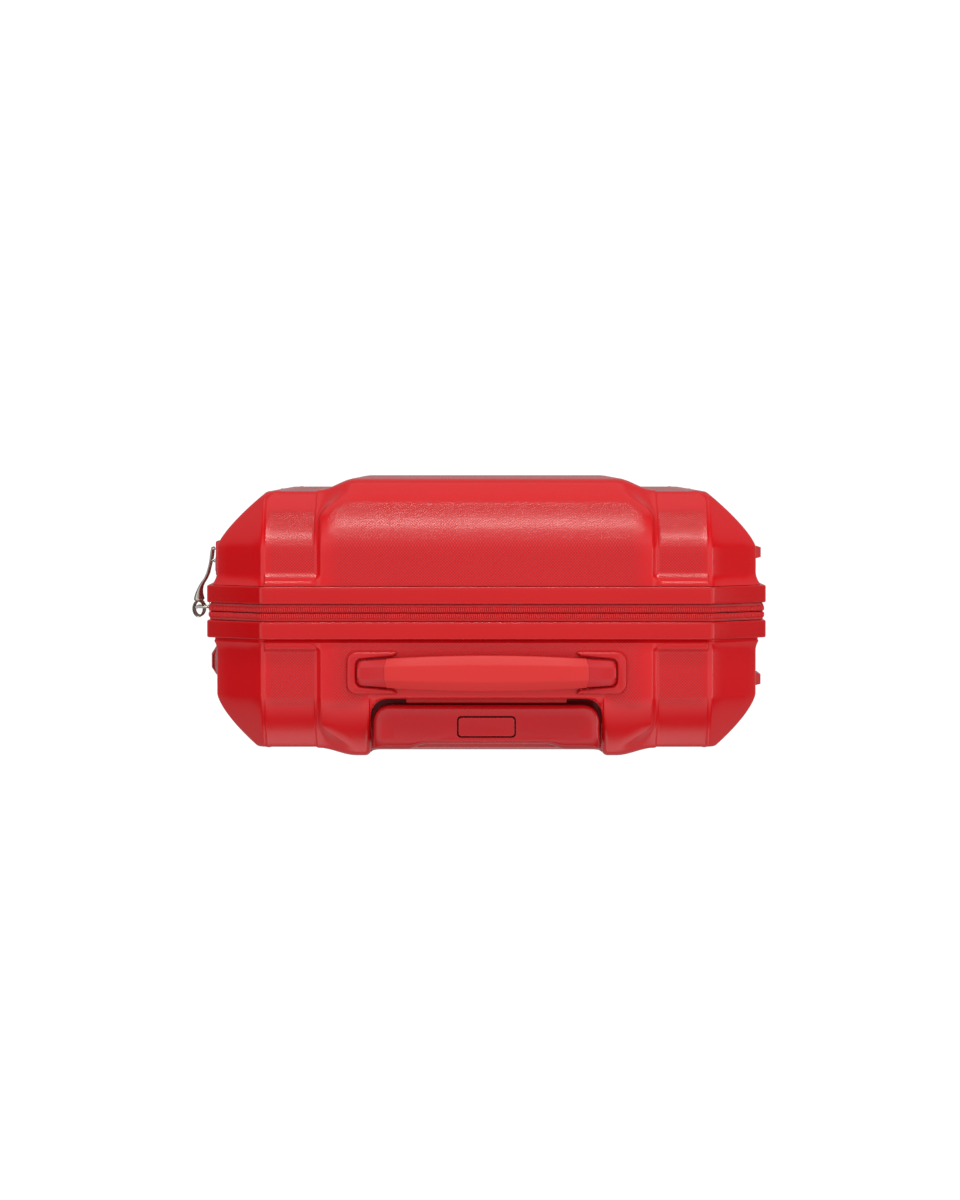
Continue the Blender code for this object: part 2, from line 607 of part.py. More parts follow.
def make_caster(word, side_x, side_y, case_parent):
    x, y = side_x * CASTER_X, side_y * CASTER_Y
    axle_y = y + TRAIL
    swivel = empty("caster_swivel_" + word, (x, y, PAD_BOTTOM), case_parent)
    crown = [(0.0195, 0.0507), (0.0210, 0.0520), (0.0210, 0.0540)]
    fork = turned("caster_fork_" + word, "Z", (x, y), crown, 28)
    combine(fork, turned("pin", "Z", (x, y), [(0.0040, 0.0530), (0.0040, 0.0705)], 16), "UNION")
    web = [(-0.0100, 0.0515), (-0.0065, 0.0360), (0.0060, 0.0215), (0.0110, 0.0165), (0.0190, 0.0165),
           (0.0240, 0.0215), (0.0270, 0.0400), (0.0260, 0.0515)]
    combine(fork, prism("web", [(y + a, b) for a, b in web], "X", x - FORK_W / 2, x + FORK_W / 2), "UNION")
    hood = arc((axle_y, WHEEL_R), 0.0280, 28, 152, 10) + arc((axle_y, WHEEL_R), 0.0261, 152, 28, 10)
    combine(fork, prism("hood", hood, "X", x - 0.0133, x + 0.0133), "UNION")
    bore = turned("bore", "X", (axle_y, WHEEL_R), [(0.0028, x - 0.02), (0.0028, x + 0.02)], 16)
    combine(fork, bore, "DIFFERENCE")
    finish(fork, "trim", swivel)
    rod = [(0.0025, x - 0.0132), (0.0025, x + 0.0132)]
    axle = turned("caster_axle_" + word, "X", (axle_y, WHEEL_R), rod, 12)
    finish(axle, "steel", swivel)
    inner = FORK_W / 2 + 0.0004
    profile = [(0.0028, 0.0), (0.0215, 0.0), (0.0236, 0.0008), (WHEEL_R, 0.0026), (WHEEL_R, WHEEL_W - 0.0026),
               (0.0236, WHEEL_W - 0.0008), (0.0190, WHEEL_W), (0.0028, WHEEL_W)]
    for side, tag in ((-1, "a"), (1, "b")):
        rings = [(r, x + side * (inner + h)) for r, h in profile]
        finish(turned("wheel_%s_%s" % (word, tag), "X", (axle_y, WHEEL_R), rings, 24, ring=True), "tyre",
               swivel, (x, axle_y, WHEEL_R))


def main():
    clear_scene()
    base = empty("case_frame", (0.0, 0.0, 0.0))
    bpy.data.objects[base].location = (CASE_X, CASE_Y, 0.0)
    hinge = empty("front_case_hinge", (HINGE_X, 0.0, CENTRE_Z), base)
    empty("trolley_stage_1", (0.0, TUBE_Y, 0.499), base)
    empty("trolley_stage_2", (0.0, TUBE_Y, GRIP_BOTTOM), "trolley_stage_1")
    empty("trolley_button", (0.0, TUBE_Y, 0.5275), "trolley_stage_2")
    empty("top_handle_lift", (0.0, HANDLE_Y, TOP_BASE), base)
    empty("side_handle_lift", (SIDE_BASE, HANDLE_Y, CENTRE_Z), base)
    empty("lock_release", (LOCK_FACE, DIAL_Y, LOCK_Z + 0.030), hinge)
    make_front_shell()
    make_rear_shell()
    make_rims()
    make_handle_cup()
    make_trolley()
    make_carry_handles()
    make_lock()
    for word, z in (("upper", LOCK_Z + 0.009), ("lower", LOCK_Z - 0.009)):
        slide = empty("zip_slider_%s_slide" % word, (0.1975, 0.0, z), hinge)
        empty("zip_pull_%s_pivot" % word, (PIN_X, PIN_Y, z), slide)
        make_zip_slider(word, z)
    for case, y, parent in (("front", -0.039, hinge), ("rear", 0.0535, base)):
        make_foot("foot_%s_upper" % case, y, 0.343, 0.393, parent)
        make_foot("foot_%s_lower" % case, y, 0.199, 0.249, parent)
    make_lining()
    make_straps()
    for spec, case, parent in ((FRONT, "front", hinge), (REAR, "rear", base)):
        for side_x, word in ((-1, "left"), (1, "right")):
            tag = "%s_%s" % (case, word)
            make_caster_guard("caster_guard_" + tag, spec, side_x, parent)
            make_caster(tag, side_x, spec["side"], parent)


main()
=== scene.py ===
"""Looks of the hard shell cabin suitcase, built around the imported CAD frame.

Pieces are worked out in the case's own frame, whose X = 0 is the middle of the case, and are
moved to the part's frame when they are made. Metres, +Z up, front shell towards -Y.
"""
from math import atan, cos, hypot, pi, radians, sin, sqrt
from types import SimpleNamespace

import bmesh
import bpy
from mathutils import Matrix, Vector, noise


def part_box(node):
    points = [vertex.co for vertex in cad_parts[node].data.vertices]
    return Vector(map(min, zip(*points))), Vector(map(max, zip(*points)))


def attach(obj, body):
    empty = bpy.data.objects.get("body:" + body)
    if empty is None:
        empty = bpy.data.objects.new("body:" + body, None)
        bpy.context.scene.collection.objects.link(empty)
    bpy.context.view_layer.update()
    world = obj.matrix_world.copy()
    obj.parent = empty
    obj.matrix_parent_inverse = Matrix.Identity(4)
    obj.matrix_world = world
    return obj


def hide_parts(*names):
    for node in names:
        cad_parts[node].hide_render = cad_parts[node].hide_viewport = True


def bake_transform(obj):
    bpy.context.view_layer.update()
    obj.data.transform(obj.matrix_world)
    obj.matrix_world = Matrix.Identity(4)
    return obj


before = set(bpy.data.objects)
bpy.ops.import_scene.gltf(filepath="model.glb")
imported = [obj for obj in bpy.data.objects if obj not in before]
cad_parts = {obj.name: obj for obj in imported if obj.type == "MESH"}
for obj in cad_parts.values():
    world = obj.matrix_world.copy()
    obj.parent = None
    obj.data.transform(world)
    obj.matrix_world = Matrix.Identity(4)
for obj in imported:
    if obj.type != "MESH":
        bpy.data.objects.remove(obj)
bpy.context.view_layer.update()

# ---- places and sizes read from the frame --------------------------------------------
RIM_LO, RIM_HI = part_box("rear_rim")
CASE_X = (RIM_LO[0] + RIM_HI[0]) / 2
CENTRE_Z = (RIM_LO[2] + RIM_HI[2]) / 2
RIM_HALF_W = (RIM_HI[0] - RIM_LO[0]) / 2
RIM_HALF_H = (RIM_HI[2] - RIM_LO[2]) / 2
RIM_START = 0.0062
CASE_Y = RIM_LO[1] - RIM_START

# ---- the form of the case, as in the CAD model ---------------------------------------
RIM_LEG, RIM_RADIUS = 0.0395, 0.0045
RIM_END, RIM_TONGUE = 0.0184, 0.0238
SHELL_STEP = 0.007
SHELL_HALF_W, SHELL_HALF_H = RIM_HALF_W - SHELL_STEP, RIM_HALF_H - SHELL_STEP
SHELL_LEG, LEG_LOSS = 0.033, 1.0
SHELL_EDGE, WALL = 0.0187, 0.0028
BAND_RISE, TRAY_STEP, LIP_RISE = 0.0045, 0.0024, 0.0036
CREASE_R = 0.0038
FACE_INSET = 0.0048
GRAIN_PITCH = 0.0021
SCOOP_DEPTH = 0.0058
BAND_WIDENS = 0.45
CUP_HALF, CUP_FRONT, CUP_FLOOR, CUP_REAR = 0.0808, 0.0594, 0.4977, 0.095
BAND_TOP, BAND_FOOT = (0.1146, 0.0915), (0.1186, 0.118)
FRONT = SimpleNamespace(word="front", side=-1, start=0.045, end=0.0832, drop=0.034, power=1.35, face=0.0845,
                        band=0.009, smooth=0.068)
REAR = SimpleNamespace(word="rear", side=1, start=0.058, end=0.094, drop=0.0273, power=1.45, face=0.0955,
                       band=0.006, smooth=0.062)


def mix(a, b, t):
    return a + (b - a) * t


def unit(value):
    return min(1.0, max(0.0, value))


def step(low, high, value):
    t = unit((value - low) / (high - low))
    return t * t * (3 - 2 * t)


def fade(low, high, value):
    return 1 - step(low, high, value)


def case_box(node):
    """Low and high corners of a CAD node in the case's frame."""
    return [(x - CASE_X, y - CASE_Y, z) for x, y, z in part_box(node)]


def middle(low, high):
    return [(a + b) / 2 for a, b in zip(low, high)]


def around(points):
    """Each point with the next one, once round a closed loop."""
    return zip(points, points[1:] + points[:1])


def oblong(low_u, low_v, high_u, high_v):
    """Corners of a rectangle, anticlockwise."""
    return [(low_u, low_v), (high_u, low_v), (high_u, high_v), (low_u, high_v)]


def piece(name, verts, faces, body, material, replaced=(), sharp=35.0):
    """A closed mesh, moved from the case's frame to the part's, riding on a CAD body.

    The shapes below pass their own last arguments on to here.
    """
    mesh = bpy.data.meshes.new(name)
    mesh.from_pydata([(x + CASE_X, y + CASE_Y, z) for x, y, z in verts], [], faces)
    mesh.validate()
    obj = bpy.data.objects.new(name, mesh)
    bpy.context.collection.objects.link(obj)
    mesh.shade_smooth()
    mesh.set_sharp_from_angle(angle=radians(sharp))
    mesh.materials.append(material)
    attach(obj, body)
    finish = material.name.split(".")[0]
    if replaced:
        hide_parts(*replaced)
    solid = bmesh.new()
    solid.from_mesh(mesh)
    bmesh.ops.recalc_face_normals(solid, faces=solid.faces)
    solid.to_mesh(mesh)
    solid.free()
    return obj


def ring_faces(count, rings, start=0, closed=False):
    """Quads between numbered rings of count points each."""
    faces = []
    for a in range(rings if closed else rings - 1):
        here, there = start + a * count, start + (a + 1) % rings * count
        for k in range(count):
            n = (k + 1) % count
            faces.append((here + k, here + n, there + n, there + k))
    return faces


# ---- materials -----------------------------------------------------------------------
class Graph:
    """Short ways to add and link the nodes of a material or of the world."""

    def __init__(self, owner, shader):
        owner.use_nodes = True
        self.nodes, self.links = owner.node_tree.nodes, owner.node_tree.links
        self.shader = self.nodes[shader].inputs

    def shade(self, **values):
        """Sets or links inputs of the shader, named with _ for each space."""
        for name, value in values.items():
            self.feed(self.shader[name.replace("_", " ")], value)

    def feed(self, socket, value):
        if isinstance(value, bpy.types.NodeSocket):
            self.links.new(value, socket)
        else:
            socket.default_value = (*value, 1.0) if isinstance(value, tuple) else value

    def add(self, kind, inputs=None, output=0, **settings):
        """Adds a node; inputs are given by name or number, and one of its outputs comes back."""
        node = self.nodes.new("ShaderNode" + kind)
        for key, value in settings.items():
            setattr(node, key, value)
        for key, value in (inputs or {}).items():
            self.feed(node.inputs[key], value)
        return node.outputs[output]

    def math(self, operation, *values, clamp=False):
        return self.add("Math", dict(enumerate(values)), operation=operation, use_clamp=clamp)

    def noise(self, vector, scale, detail=3.0):
        return self.add("TexNoise", {"Vector": vector, "Scale": scale, "Detail": detail})

    def mix(self, factor, first, second):
        return self.add("Mix", {"Factor": factor, 6: first, 7: second}, 2, data_type="RGBA")

    def bump(self, height, distance, strength=1.0, normal=None):
        inputs = {"Height": height, "Distance": distance, "Strength": strength}
        return self.add("Bump", {**inputs, "Normal": normal} if normal else inputs)

    def range(self, value, low, high, to_low, to_high):
        return self.add("MapRange", {"Value": value, "From Min": low, "From Max": high, "To Min": to_low,
                                     "To Max": to_high})

    def place(self):
        return self.add("NewGeometry", output="Position")

    def split(self, vector):
        return self.add("SeparateXYZ", {0: vector}).node.outputs


def new_material(name, colour, roughness, metallic=0.0, **sockets):
    material = bpy.data.materials.new(name)
    graph = Graph(material, "Principled BSDF")
    graph.shade(Base_Color=colour, Roughness=roughness, Metallic=metallic, **sockets)
    return material, graph


def shell_material():
    """Moulded plastic: pressed diamond grain on the panels with painted shade in its grooves, smooth edges,
    faint handling marks.
    """
    material, graph = new_material("shell_red", (0.72, 0.005, 0.009), 0.3)
    place = graph.place()
    u, v, _ = graph.split(graph.add("Attribute", output="Vector", attribute_name="panel_uv"))
    mask = graph.add("Attribute", output="Fac", attribute_name="panel_mask")
    waves = []
    for operation in ("ADD", "SUBTRACT"):
        angle = graph.math("MULTIPLY", graph.math(operation, u, v), pi / GRAIN_PITCH)
        waves.append(graph.math("ABSOLUTE", graph.math("SINE", angle)))
    diamonds = graph.range(graph.math("MINIMUM", *waves), 0.12, 0.62, 0.0, 1.0)
    fine = graph.bump(graph.noise(place, 2600.0, 2.0), 0.00001, 0.3)
    graph.shade(Normal=graph.bump(graph.math("MULTIPLY", diamonds, mask), 0.000065, 1.0, fine))
    cloud = graph.range(graph.noise(place, 9.0, 4.0), 0.3, 0.7, 0.0, 1.0)
    tone = graph.mix(cloud, (0.765, 0.007, 0.0115), (0.795, 0.008, 0.0125))
    # painted shade: the grain's grooves are darkened in the base colour, where shade falls in them
    groove_shade = graph.math("MULTIPLY", graph.math("SUBTRACT", 1.0, diamonds), graph.math("MULTIPLY", mask, 0.66))
    graph.shade(Base_Color=graph.mix(groove_shade, tone, (0.34, 0.001, 0.004)))
    rough = graph.range(graph.noise(place, 25.0, 3.0), 0.2, 0.8, 0.19, 0.22)
    graph.shade(Roughness=graph.math("ADD", rough, graph.math("MULTIPLY", mask, 0.035)))
    return material


def darkened(graph, share, factor, colour):
    """Uneven colour between a darker shade and the full one."""
    return graph.mix(share, tuple(c * factor for c in colour), colour)


def trim_material(name, colour, roughness, peel_size=900.0, peel_depth=0.000008):
    """Smooth moulded plastic with a faint orange peel."""
    material, graph = new_material(name, colour, roughness)
    place = graph.place()
    cloud = graph.noise(place, 14.0, 4.0)
    graph.shade(Normal=graph.bump(graph.noise(place, peel_size, 2.0), peel_depth, 0.5),
                Base_Color=darkened(graph, cloud, 0.94, colour),
                Roughness=graph.range(cloud, 0.3, 0.7, roughness - 0.02, roughness + 0.04))
    return material


def cloth_material(name, colour, pitch, depth=0.00025):
    """Woven cloth: two crossing sets of threads, soft sheen and uneven dye."""
    material, graph = new_material(name, colour, 0.85, Sheen_Weight=0.4, Sheen_Roughness=0.5)
    place = graph.place()
    x, y, z = graph.split(place)
    waves = []
    for axis in (x, z):
        across = graph.math("ADD", axis, graph.math("MULTIPLY", y, 0.7))
        waves.append(graph.math("SINE", graph.math("MULTIPLY", across, 2 * pi / pitch)))
    weave = graph.math("MULTIPLY", *waves)
    share = graph.math("ADD", graph.math("MULTIPLY", weave, 0.3), graph.noise(place, 30.0, 4.0), clamp=True)
    graph.shade(Normal=graph.bump(weave, depth, 0.8), Base_Color=darkened(graph, share, 0.7, colour))
    return material


def metal_material(name, colour, roughness, along=None):
    """Metal; along gives the axis of its fine brushing."""
    material, graph = new_material(name, colour, roughness, 1.0)
    place = graph.place()
    scale = Vector([20.0 if axis == along else 1500.0 for axis in "XYZ"])
    brush = graph.noise(graph.add("Mapping", {"Vector": place, "Scale": scale}), 1.0, 3.0)
    cloud = graph.noise(place, 120.0, 4.0)
    graph.shade(Normal=graph.bump(brush, 0.000006 if along else 0.000003, 0.4),
                Base_Color=darkened(graph, brush, 0.85, colour),
                Roughness=graph.range(cloud, 0.3, 0.7, roughness - 0.05, roughness + 0.08))
    return material


SHELL_RED = shell_material()
TRIM_RED = trim_material("trim_red", (0.68, 0.006, 0.01), 0.28)
RIM_RED = trim_material("rim_red", (0.7, 0.005, 0.008), 0.22)
CAP_RED = trim_material("cap_red", (0.66, 0.006, 0.012), 0.22)
GRIP_RED = trim_material("grip_red", (0.8, 0.022, 0.02), 0.5, 1400.0, 0.00001)
PEBBLE_RED = trim_material("pebble_red", (0.58, 0.006, 0.011), 0.26, 1800.0, 0.00001)
ZIP_CLOTH = cloth_material("zip_cloth", (0.8, 0.02, 0.024), 0.0006, 0.0001)
ZIP_COIL = trim_material("zip_coil", (0.86, 0.02, 0.024), 0.42)
LINING = cloth_material("lining_cloth", (0.045, 0.045, 0.05), 0.0008)
WEBBING = cloth_material("strap_webbing", (0.04, 0.04, 0.045), 0.0016, 0.0004)
BUCKLE_BLACK = trim_material("buckle_black", (0.02, 0.02, 0.022), 0.35)
TYRE = trim_material("wheel_rubber", (0.022, 0.022, 0.024), 0.55, 500.0, 0.00002)
DIAL_BLACK = trim_material("dial_black", (0.03, 0.03, 0.034), 0.35)
NICKEL = metal_material("pull_nickel", (0.62, 0.57, 0.5), 0.18)
STEEL = metal_material("axle_steel", (0.56, 0.56, 0.57), 0.3)
ALUMINIUM = metal_material("tube_aluminium", (0.78, 0.78, 0.8), 0.3, "Z")


# ---- the shells ----------------------------------------------------------------------
FLAT_COLUMNS = (5, 6, 6, 2, 8, 1, 3, 4, 6, 4)   # band, its edge at the cup, side slope, foot, tray, its edges
ARC_STEPS, FACET_STEPS = 4, 2
COLUMN_FLATS = sum(FLAT_COLUMNS)
ROW_FLATS = 22
NC = COLUMN_FLATS + ARC_STEPS + FACET_STEPS
NR = ROW_FLATS + ARC_STEPS + FACET_STEPS


def band_edges(share):
    """Distances from the middle of the top and the foot of the band's slope."""
    return mix(*BAND_TOP, share), mix(*BAND_FOOT, share)


def flat_column(a, share, flat_end):
    """Distance from the middle of the a-th column on the flat of the top wall."""
    top, foot = band_edges(share)
    stops = [0.0, 0.06, CUP_HALF, CUP_HALF + 0.0062, top, foot, foot + 0.0004, foot + 0.0018, foot + 0.0068,
             flat_end - 0.0015, flat_end]
    for count, low, high in zip(FLAT_COLUMNS, stops, stops[1:]):
        if a <= count:
            return mix(low, high, a / count)
        a -= count
    return flat_end


def flat_row(b, flat_end):
    return flat_end * (1 - (1 - b / ROW_FLATS) ** 1.5)


def walls(inset):
    """Half width and height, corner leg and half lengths of both flats of the walls, drawn in by inset."""
    half_w, half_h = SHELL_HALF_W - inset, SHELL_HALF_H - inset
    leg = max(CREASE_R * 0.8, SHELL_LEG - LEG_LOSS * inset)
    cut = leg + CREASE_R * 0.41421
    return half_w, half_h, leg, half_w - cut, half_h - cut


def corner_place(half_w, half_h, leg, c):
    """Point and normal of the c-th step from the end of the top flat to the middle of the corner's facet."""
    start, low, diagonal = half_w - leg - CREASE_R * 0.41421, half_h - CREASE_R, sqrt(0.5)
    if c <= ARC_STEPS:
        angle = radians(90 - 45 * c / ARC_STEPS)
        return start + CREASE_R * cos(angle), low + CREASE_R * sin(angle), cos(angle), sin(angle)
    t = (c - ARC_STEPS) / FACET_STEPS
    return (mix(start + CREASE_R * diagonal, half_w - leg / 2, t),
            mix(low + CREASE_R * diagonal, half_h - leg / 2, t), diagonal, diagonal)


def band_height(x, share, band, along):
    return fade(*band_edges(share), x) * mix(BAND_RISE, band, along)


def flank_height(x, depth, foot, flat_end):
    """The sunk panel beside the band: it turns up in two steps towards the rim, and a little at its ends."""
    bend = 0.005 * fade(foot - 0.004, foot + 0.0034, x)
    lip = fade(0.0205 + bend, 0.0223 + bend, depth)
    ends = max(step(flat_end - 0.0013, flat_end - 0.0003, x), fade(foot + 0.0004, foot + 0.0018, x))
    return max(TRAY_STEP * fade(0.0238, 0.0284, depth), 0.0007 * ends) + (LIP_RISE - TRAY_STEP) * lip


def cup_round(x, depth):
    """The shell rounds over into the handle cup, more and more towards the rear."""
    radius = mix(0.0022, 0.0046, step(0.066, 0.09, depth)) * step(CUP_FRONT - 0.004, CUP_FRONT + 0.004, depth)
    near = unit(1 - (x - CUP_HALF) / max(radius, 0.0001))
    return radius * (1 - sqrt(1 - near * near))


def rim_groove(depth):
    """Shadow line between the rear rim and the shell behind it."""
    return 0.0022 * fade(0.0187, 0.0212, depth)


def flare(depth):
    return LIP_RISE * max(0.0, 1 - (depth - SHELL_EDGE) / 0.009) ** 2


def top_height(x, depth, share, band, flat_end, along):
    top, foot = band_edges(share)
    flank = mix(flank_height(x, depth, foot, flat_end), flare(depth), step(flat_end - 0.001, flat_end, x))
    return band_height(x, share, band, along) + flank * step(top, foot, x)


def wall_profile(spec):
    """(depth, inset, slope, share, run along the wall) of each ring from the rim to the face's edge."""
    straight = [0.0187, 0.0198, 0.0205, 0.0209, 0.0212, 0.0214, 0.0216, 0.0219, 0.0223, 0.023, 0.0237, 0.0242,
                0.0247, 0.0252, 0.0257, 0.0262, 0.0267, 0.0272, 0.0278, 0.0285, 0.03, 0.034, 0.04]
    rows = [(depth, 0.0, 0.0, 0.0) for depth in straight]
    length, drop, power, curve = spec.end - spec.start, spec.drop, spec.power, 22
    for k in range(curve + 1):
        t = k / curve
        slope = atan(drop / length * power * t ** (power - 1)) if k else 0.0
        rows.append((spec.start + length * t, drop * t ** power, slope, step(BAND_WIDENS, 1, t)))
    end_depth, _, end_slope, _ = rows[-1]
    knee = drop + (spec.face - end_depth) * sin(end_slope) / cos(end_slope)
    for k in range(1, 6):
        t = k / 5
        first, second = (1 - t) ** 2, 2 * t * (1 - t)
        inset = first * drop + second * knee + t * t * (drop + FACE_INSET)
        rows.append((mix(spec.face, end_depth, first), inset, mix(end_slope, radians(88), t), 1.0))
    run, out = 0.0, []
    for row, before in zip(rows, rows[:1] + rows):
        run += hypot(row[0] - before[0], row[1] - before[1])
        out.append((*row, run))
    return out


def along_wall(spec, depth):
    return unit((depth - spec.start) / (spec.end - spec.start))


def border_cells():
    low = [(i, -NR) for i in range(-NC, NC + 1)] + [(NC, j) for j in range(-NR + 1, NR)]
    return low + [(i, NR) for i in range(NC, -NC - 1, -1)] + [(-NC, j) for j in range(NR - 1, -NR, -1)]


def sign(value):
    return 1 if value > 0 else -1


def top_grain(spec, x, depth, share, flat_x):
    """Share of the diamond grain on the top wall: on the band and on the trays, off every edge."""
    top, foot = band_edges(share)
    rough = fade(spec.smooth, spec.smooth + 0.006, depth)
    band = fade(top - 0.002, top, x) * rough
    if spec.side > 0:
        far = hypot(max(0.0, x - 0.07), max(0.0, CUP_FRONT + 0.01 - depth))
        band *= step(0.0165, 0.02, far) if depth > 0.045 or x > 0.07 else step(0.0215, 0.025, far)
    tray = step(foot + 0.0004, foot + 0.0014, x) * fade(flat_x - 0.0022, flat_x - 0.001, x)
    return band + tray * step(0.024, 0.0246, depth) * rough


def border_place(spec, cell, row, offset, detail):
    """Place, grain coordinates and grain mask of one border cell on one ring."""
    (i, j), (depth, inset, slope, share, run) = cell, row
    half_w, half_h, leg, flat_x, flat_z = walls(inset)
    a, b = abs(i), abs(j)
    groove = rim_groove(depth) if spec.side > 0 else 0.0
    rise, grain = flare(depth) - groove if detail else 0.0, (0.0, 0.0, 0.0)
    if b == NR and a <= COLUMN_FLATS:
        x, z, nx, nz = flat_column(a, share, flat_x), half_h, 0.0, 1.0
        along = along_wall(spec, depth)
        rise = band_height(x, share, spec.band, along)
        if detail:
            rise = top_height(x, depth, share, spec.band, flat_x, along)
        if spec.side > 0:
            rise -= cup_round(x, depth) + groove
        grain = (sign(i) * x, run, top_grain(spec, x, depth, share, flat_x))
    elif a == NC and b <= ROW_FLATS:
        x, z, nx, nz = half_w, flat_row(b, flat_z), 1.0, 0.0
        grain = (sign(j) * z, run, fade(flat_z - 0.006, flat_z - 0.003, z) * step(0.028, 0.03, depth)
                 * fade(spec.smooth, spec.smooth + 0.004, depth))
    elif b == NR:
        x, z, nx, nz = corner_place(half_w, half_h, leg, a - COLUMN_FLATS)
    else:
        z, x, nz, nx = corner_place(half_h, half_w, leg, b - ROW_FLATS)
    out = cos(slope) * (rise + offset)
    return (sign(i) * (x + nx * out), spec.side * (depth + sin(slope) * (rise + offset)),
            CENTRE_Z + sign(j) * (z + nz * out)), grain


def face_place(spec, i, j, offset, detail):
    """Place, grain coordinates and mask of one cell inside the big flat face."""
    half_w, half_h, leg, flat_x, flat_z = walls(spec.drop + FACE_INSET)
    a, b = abs(i), abs(j)
    x, z = flat_column(min(a, COLUMN_FLATS), 1.0, flat_x), flat_row(min(b, ROW_FLATS), flat_z)
    s, t = max(0, a - COLUMN_FLATS) / (NC - COLUMN_FLATS), max(0, b - ROW_FLATS) / (NR - ROW_FLATS)
    if s and t:
        top = corner_place(half_w, half_h, leg, a - COLUMN_FLATS)
        side = corner_place(half_h, half_w, leg, b - ROW_FLATS)
        x = mix(flat_x, side[1], s) + t * (top[0] - mix(flat_x, half_w - leg / 2, s))
        z = mix(flat_z, top[1], t) + s * (side[0] - mix(flat_z, half_h - leg / 2, t))
    elif s:
        x = mix(flat_x, half_w, s)
    elif t:
        z = mix(flat_z, half_h, t)
    rise = band_height(x, 1.0, spec.band, 1.0)
    if detail:
        rise = top_height(x, 0.06, 1.0, spec.band, flat_x, 1.0)
    up = CENTRE_Z + sign(j) * z
    if spec.side > 0:
        rise -= max(SCOOP_DEPTH * fade(0.073, 0.086, x) * step(0.436, 0.496, up),
                    cup_round(x, 0.1) * step(0.476, 0.492, up))
    band = fade(BAND_TOP[1] - 0.003, BAND_TOP[1], x)
    tray = step(0.1195, 0.121, x) * fade(flat_x - 0.0025, flat_x - 0.001, x)
    return ((sign(i) * x, spec.side * (spec.face + rise + offset), up),
            (sign(i) * x, sign(j) * z, fade(0.178, 0.186, z) * (band + tray)))


def shell_skin(spec, offset, detail, start=0):
    rows, cells = wall_profile(spec), border_cells()
    made = [border_place(spec, cell, row, offset, detail) for row in rows for cell in cells]
    count = len(cells)
    faces = ring_faces(count, len(rows), start)
    index = {cell: start + (len(rows) - 1) * count + k for k, cell in enumerate(cells)}
    for j in range(-NR + 1, NR):
        for i in range(-NC + 1, NC):
            index[(i, j)] = start + len(made)
            made.append(face_place(spec, i, j, offset, detail))
    for j in range(-NR, NR):
        for i in range(-NC, NC):
            faces.append((index[(i, j)], index[(i + 1, j)], index[(i + 1, j + 1)], index[(i, j + 1)]))
    return made, faces, count


def make_shell(spec):
    outer, faces, count = shell_skin(spec, 0.0, True)
    inner, more, _ = shell_skin(spec, -WALL, False, len(outer))
    for k in range(count):
        n = (k + 1) % count
        faces.append((k, n, len(outer) + n, len(outer) + k))
    made = outer + inner
    name, body = spec.word + "_shell", spec.word + "_case"
    obj = piece(name + "_skin", [place for place, _ in made], faces + more, body, SHELL_RED, (name,))
    uv = obj.data.attributes.new("panel_uv", "FLOAT_VECTOR", "POINT")
    for k, (_, grain) in enumerate(made):
        uv.data[k].vector = (grain[0], grain[1], 0.0)
    mask = obj.data.attributes.new("panel_mask", "FLOAT", "POINT")
    for k, (_, grain) in enumerate(outer):
        mask.data[k].value = grain[2]
    return obj


def apply_cut(obj, tool):
    """Cuts the tool out of a piece and removes the tool."""
    cut = obj.modifiers.new("cut", "BOOLEAN")
    cut.operation = "DIFFERENCE"
    cut.object = tool
    bpy.context.view_layer.update()
    obj.data = bpy.data.meshes.new_from_object(obj.evaluated_get(bpy.context.evaluated_depsgraph_get()))
    obj.modifiers.clear()
    bpy.data.objects.remove(tool)


# ---- shared shapes -------------------------------------------------------------------
def arc_points(centre, radius, start, end, count):
    """Points on an arc, angles in degrees."""
    angles = [radians(mix(start, end, k / count)) for k in range(count + 1)]
    return [(centre[0] + radius * cos(a), centre[1] + radius * sin(a)) for a in angles]


def circle(count):
    return [2 * pi * k / count for k in range(count)]


def offset_polygon(points, distance):
    """Moves each side of an anticlockwise polygon inwards by distance."""
    out = []
    for k, here in enumerate(points):
        before, after = points[k - 1], points[(k + 1) % len(points)]
        first = Vector((here[0] - before[0], here[1] - before[1])).normalized()
        second = Vector((after[0] - here[0], after[1] - here[1])).normalized()
        normals = Vector((-first.y, first.x)), Vector((-second.y, second.x))
        mitre = (normals[0] + normals[1]) / (1 + normals[0].dot(normals[1]))
        out.append((here[0] + mitre.x * distance, here[1] + mitre.y * distance))
    return out


def rounded_polygon(points, radii, count=5):
    """Replaces each corner of a polygon by a round stretch that touches both of its sides."""
    out = []
    for k, here in enumerate(points):
        here, radius = Vector(here), max(radii[k % len(radii)], 0.00002)
        before, after = Vector(points[k - 1]), Vector(points[(k + 1) % len(points)])
        first, second = (before - here).normalized(), (after - here).normalized()
        angle = first.angle(second)
        reach = min(radius / max(0.05, sin(angle / 2) / cos(angle / 2)),
                    0.48 * (before - here).length, 0.48 * (after - here).length)
        a, b = here + first * reach, here + second * reach
        for n in range(count + 1):
            t = n / count
            out.append(tuple(a * (1 - t) ** 2 + here * 2 * t * (1 - t) * 0.92 + b * t ** 2
                             + (a + b) * 0.5 * 2 * t * (1 - t) * 0.08))
    return out


def round_levels(low, high, r_low, r_high, count=4):
    """(height, inset) of each ring of a solid with rounded lower and upper edges."""
    turns = [radians(90 * k / count) for k in range(count + 1)]
    levels = [(low + r_low * (1 - cos(turn)), r_low * (1 - sin(turn))) for turn in turns]
    return levels + [(high - r_high * (1 - sin(turn)), r_high * (1 - cos(turn))) for turn in turns]


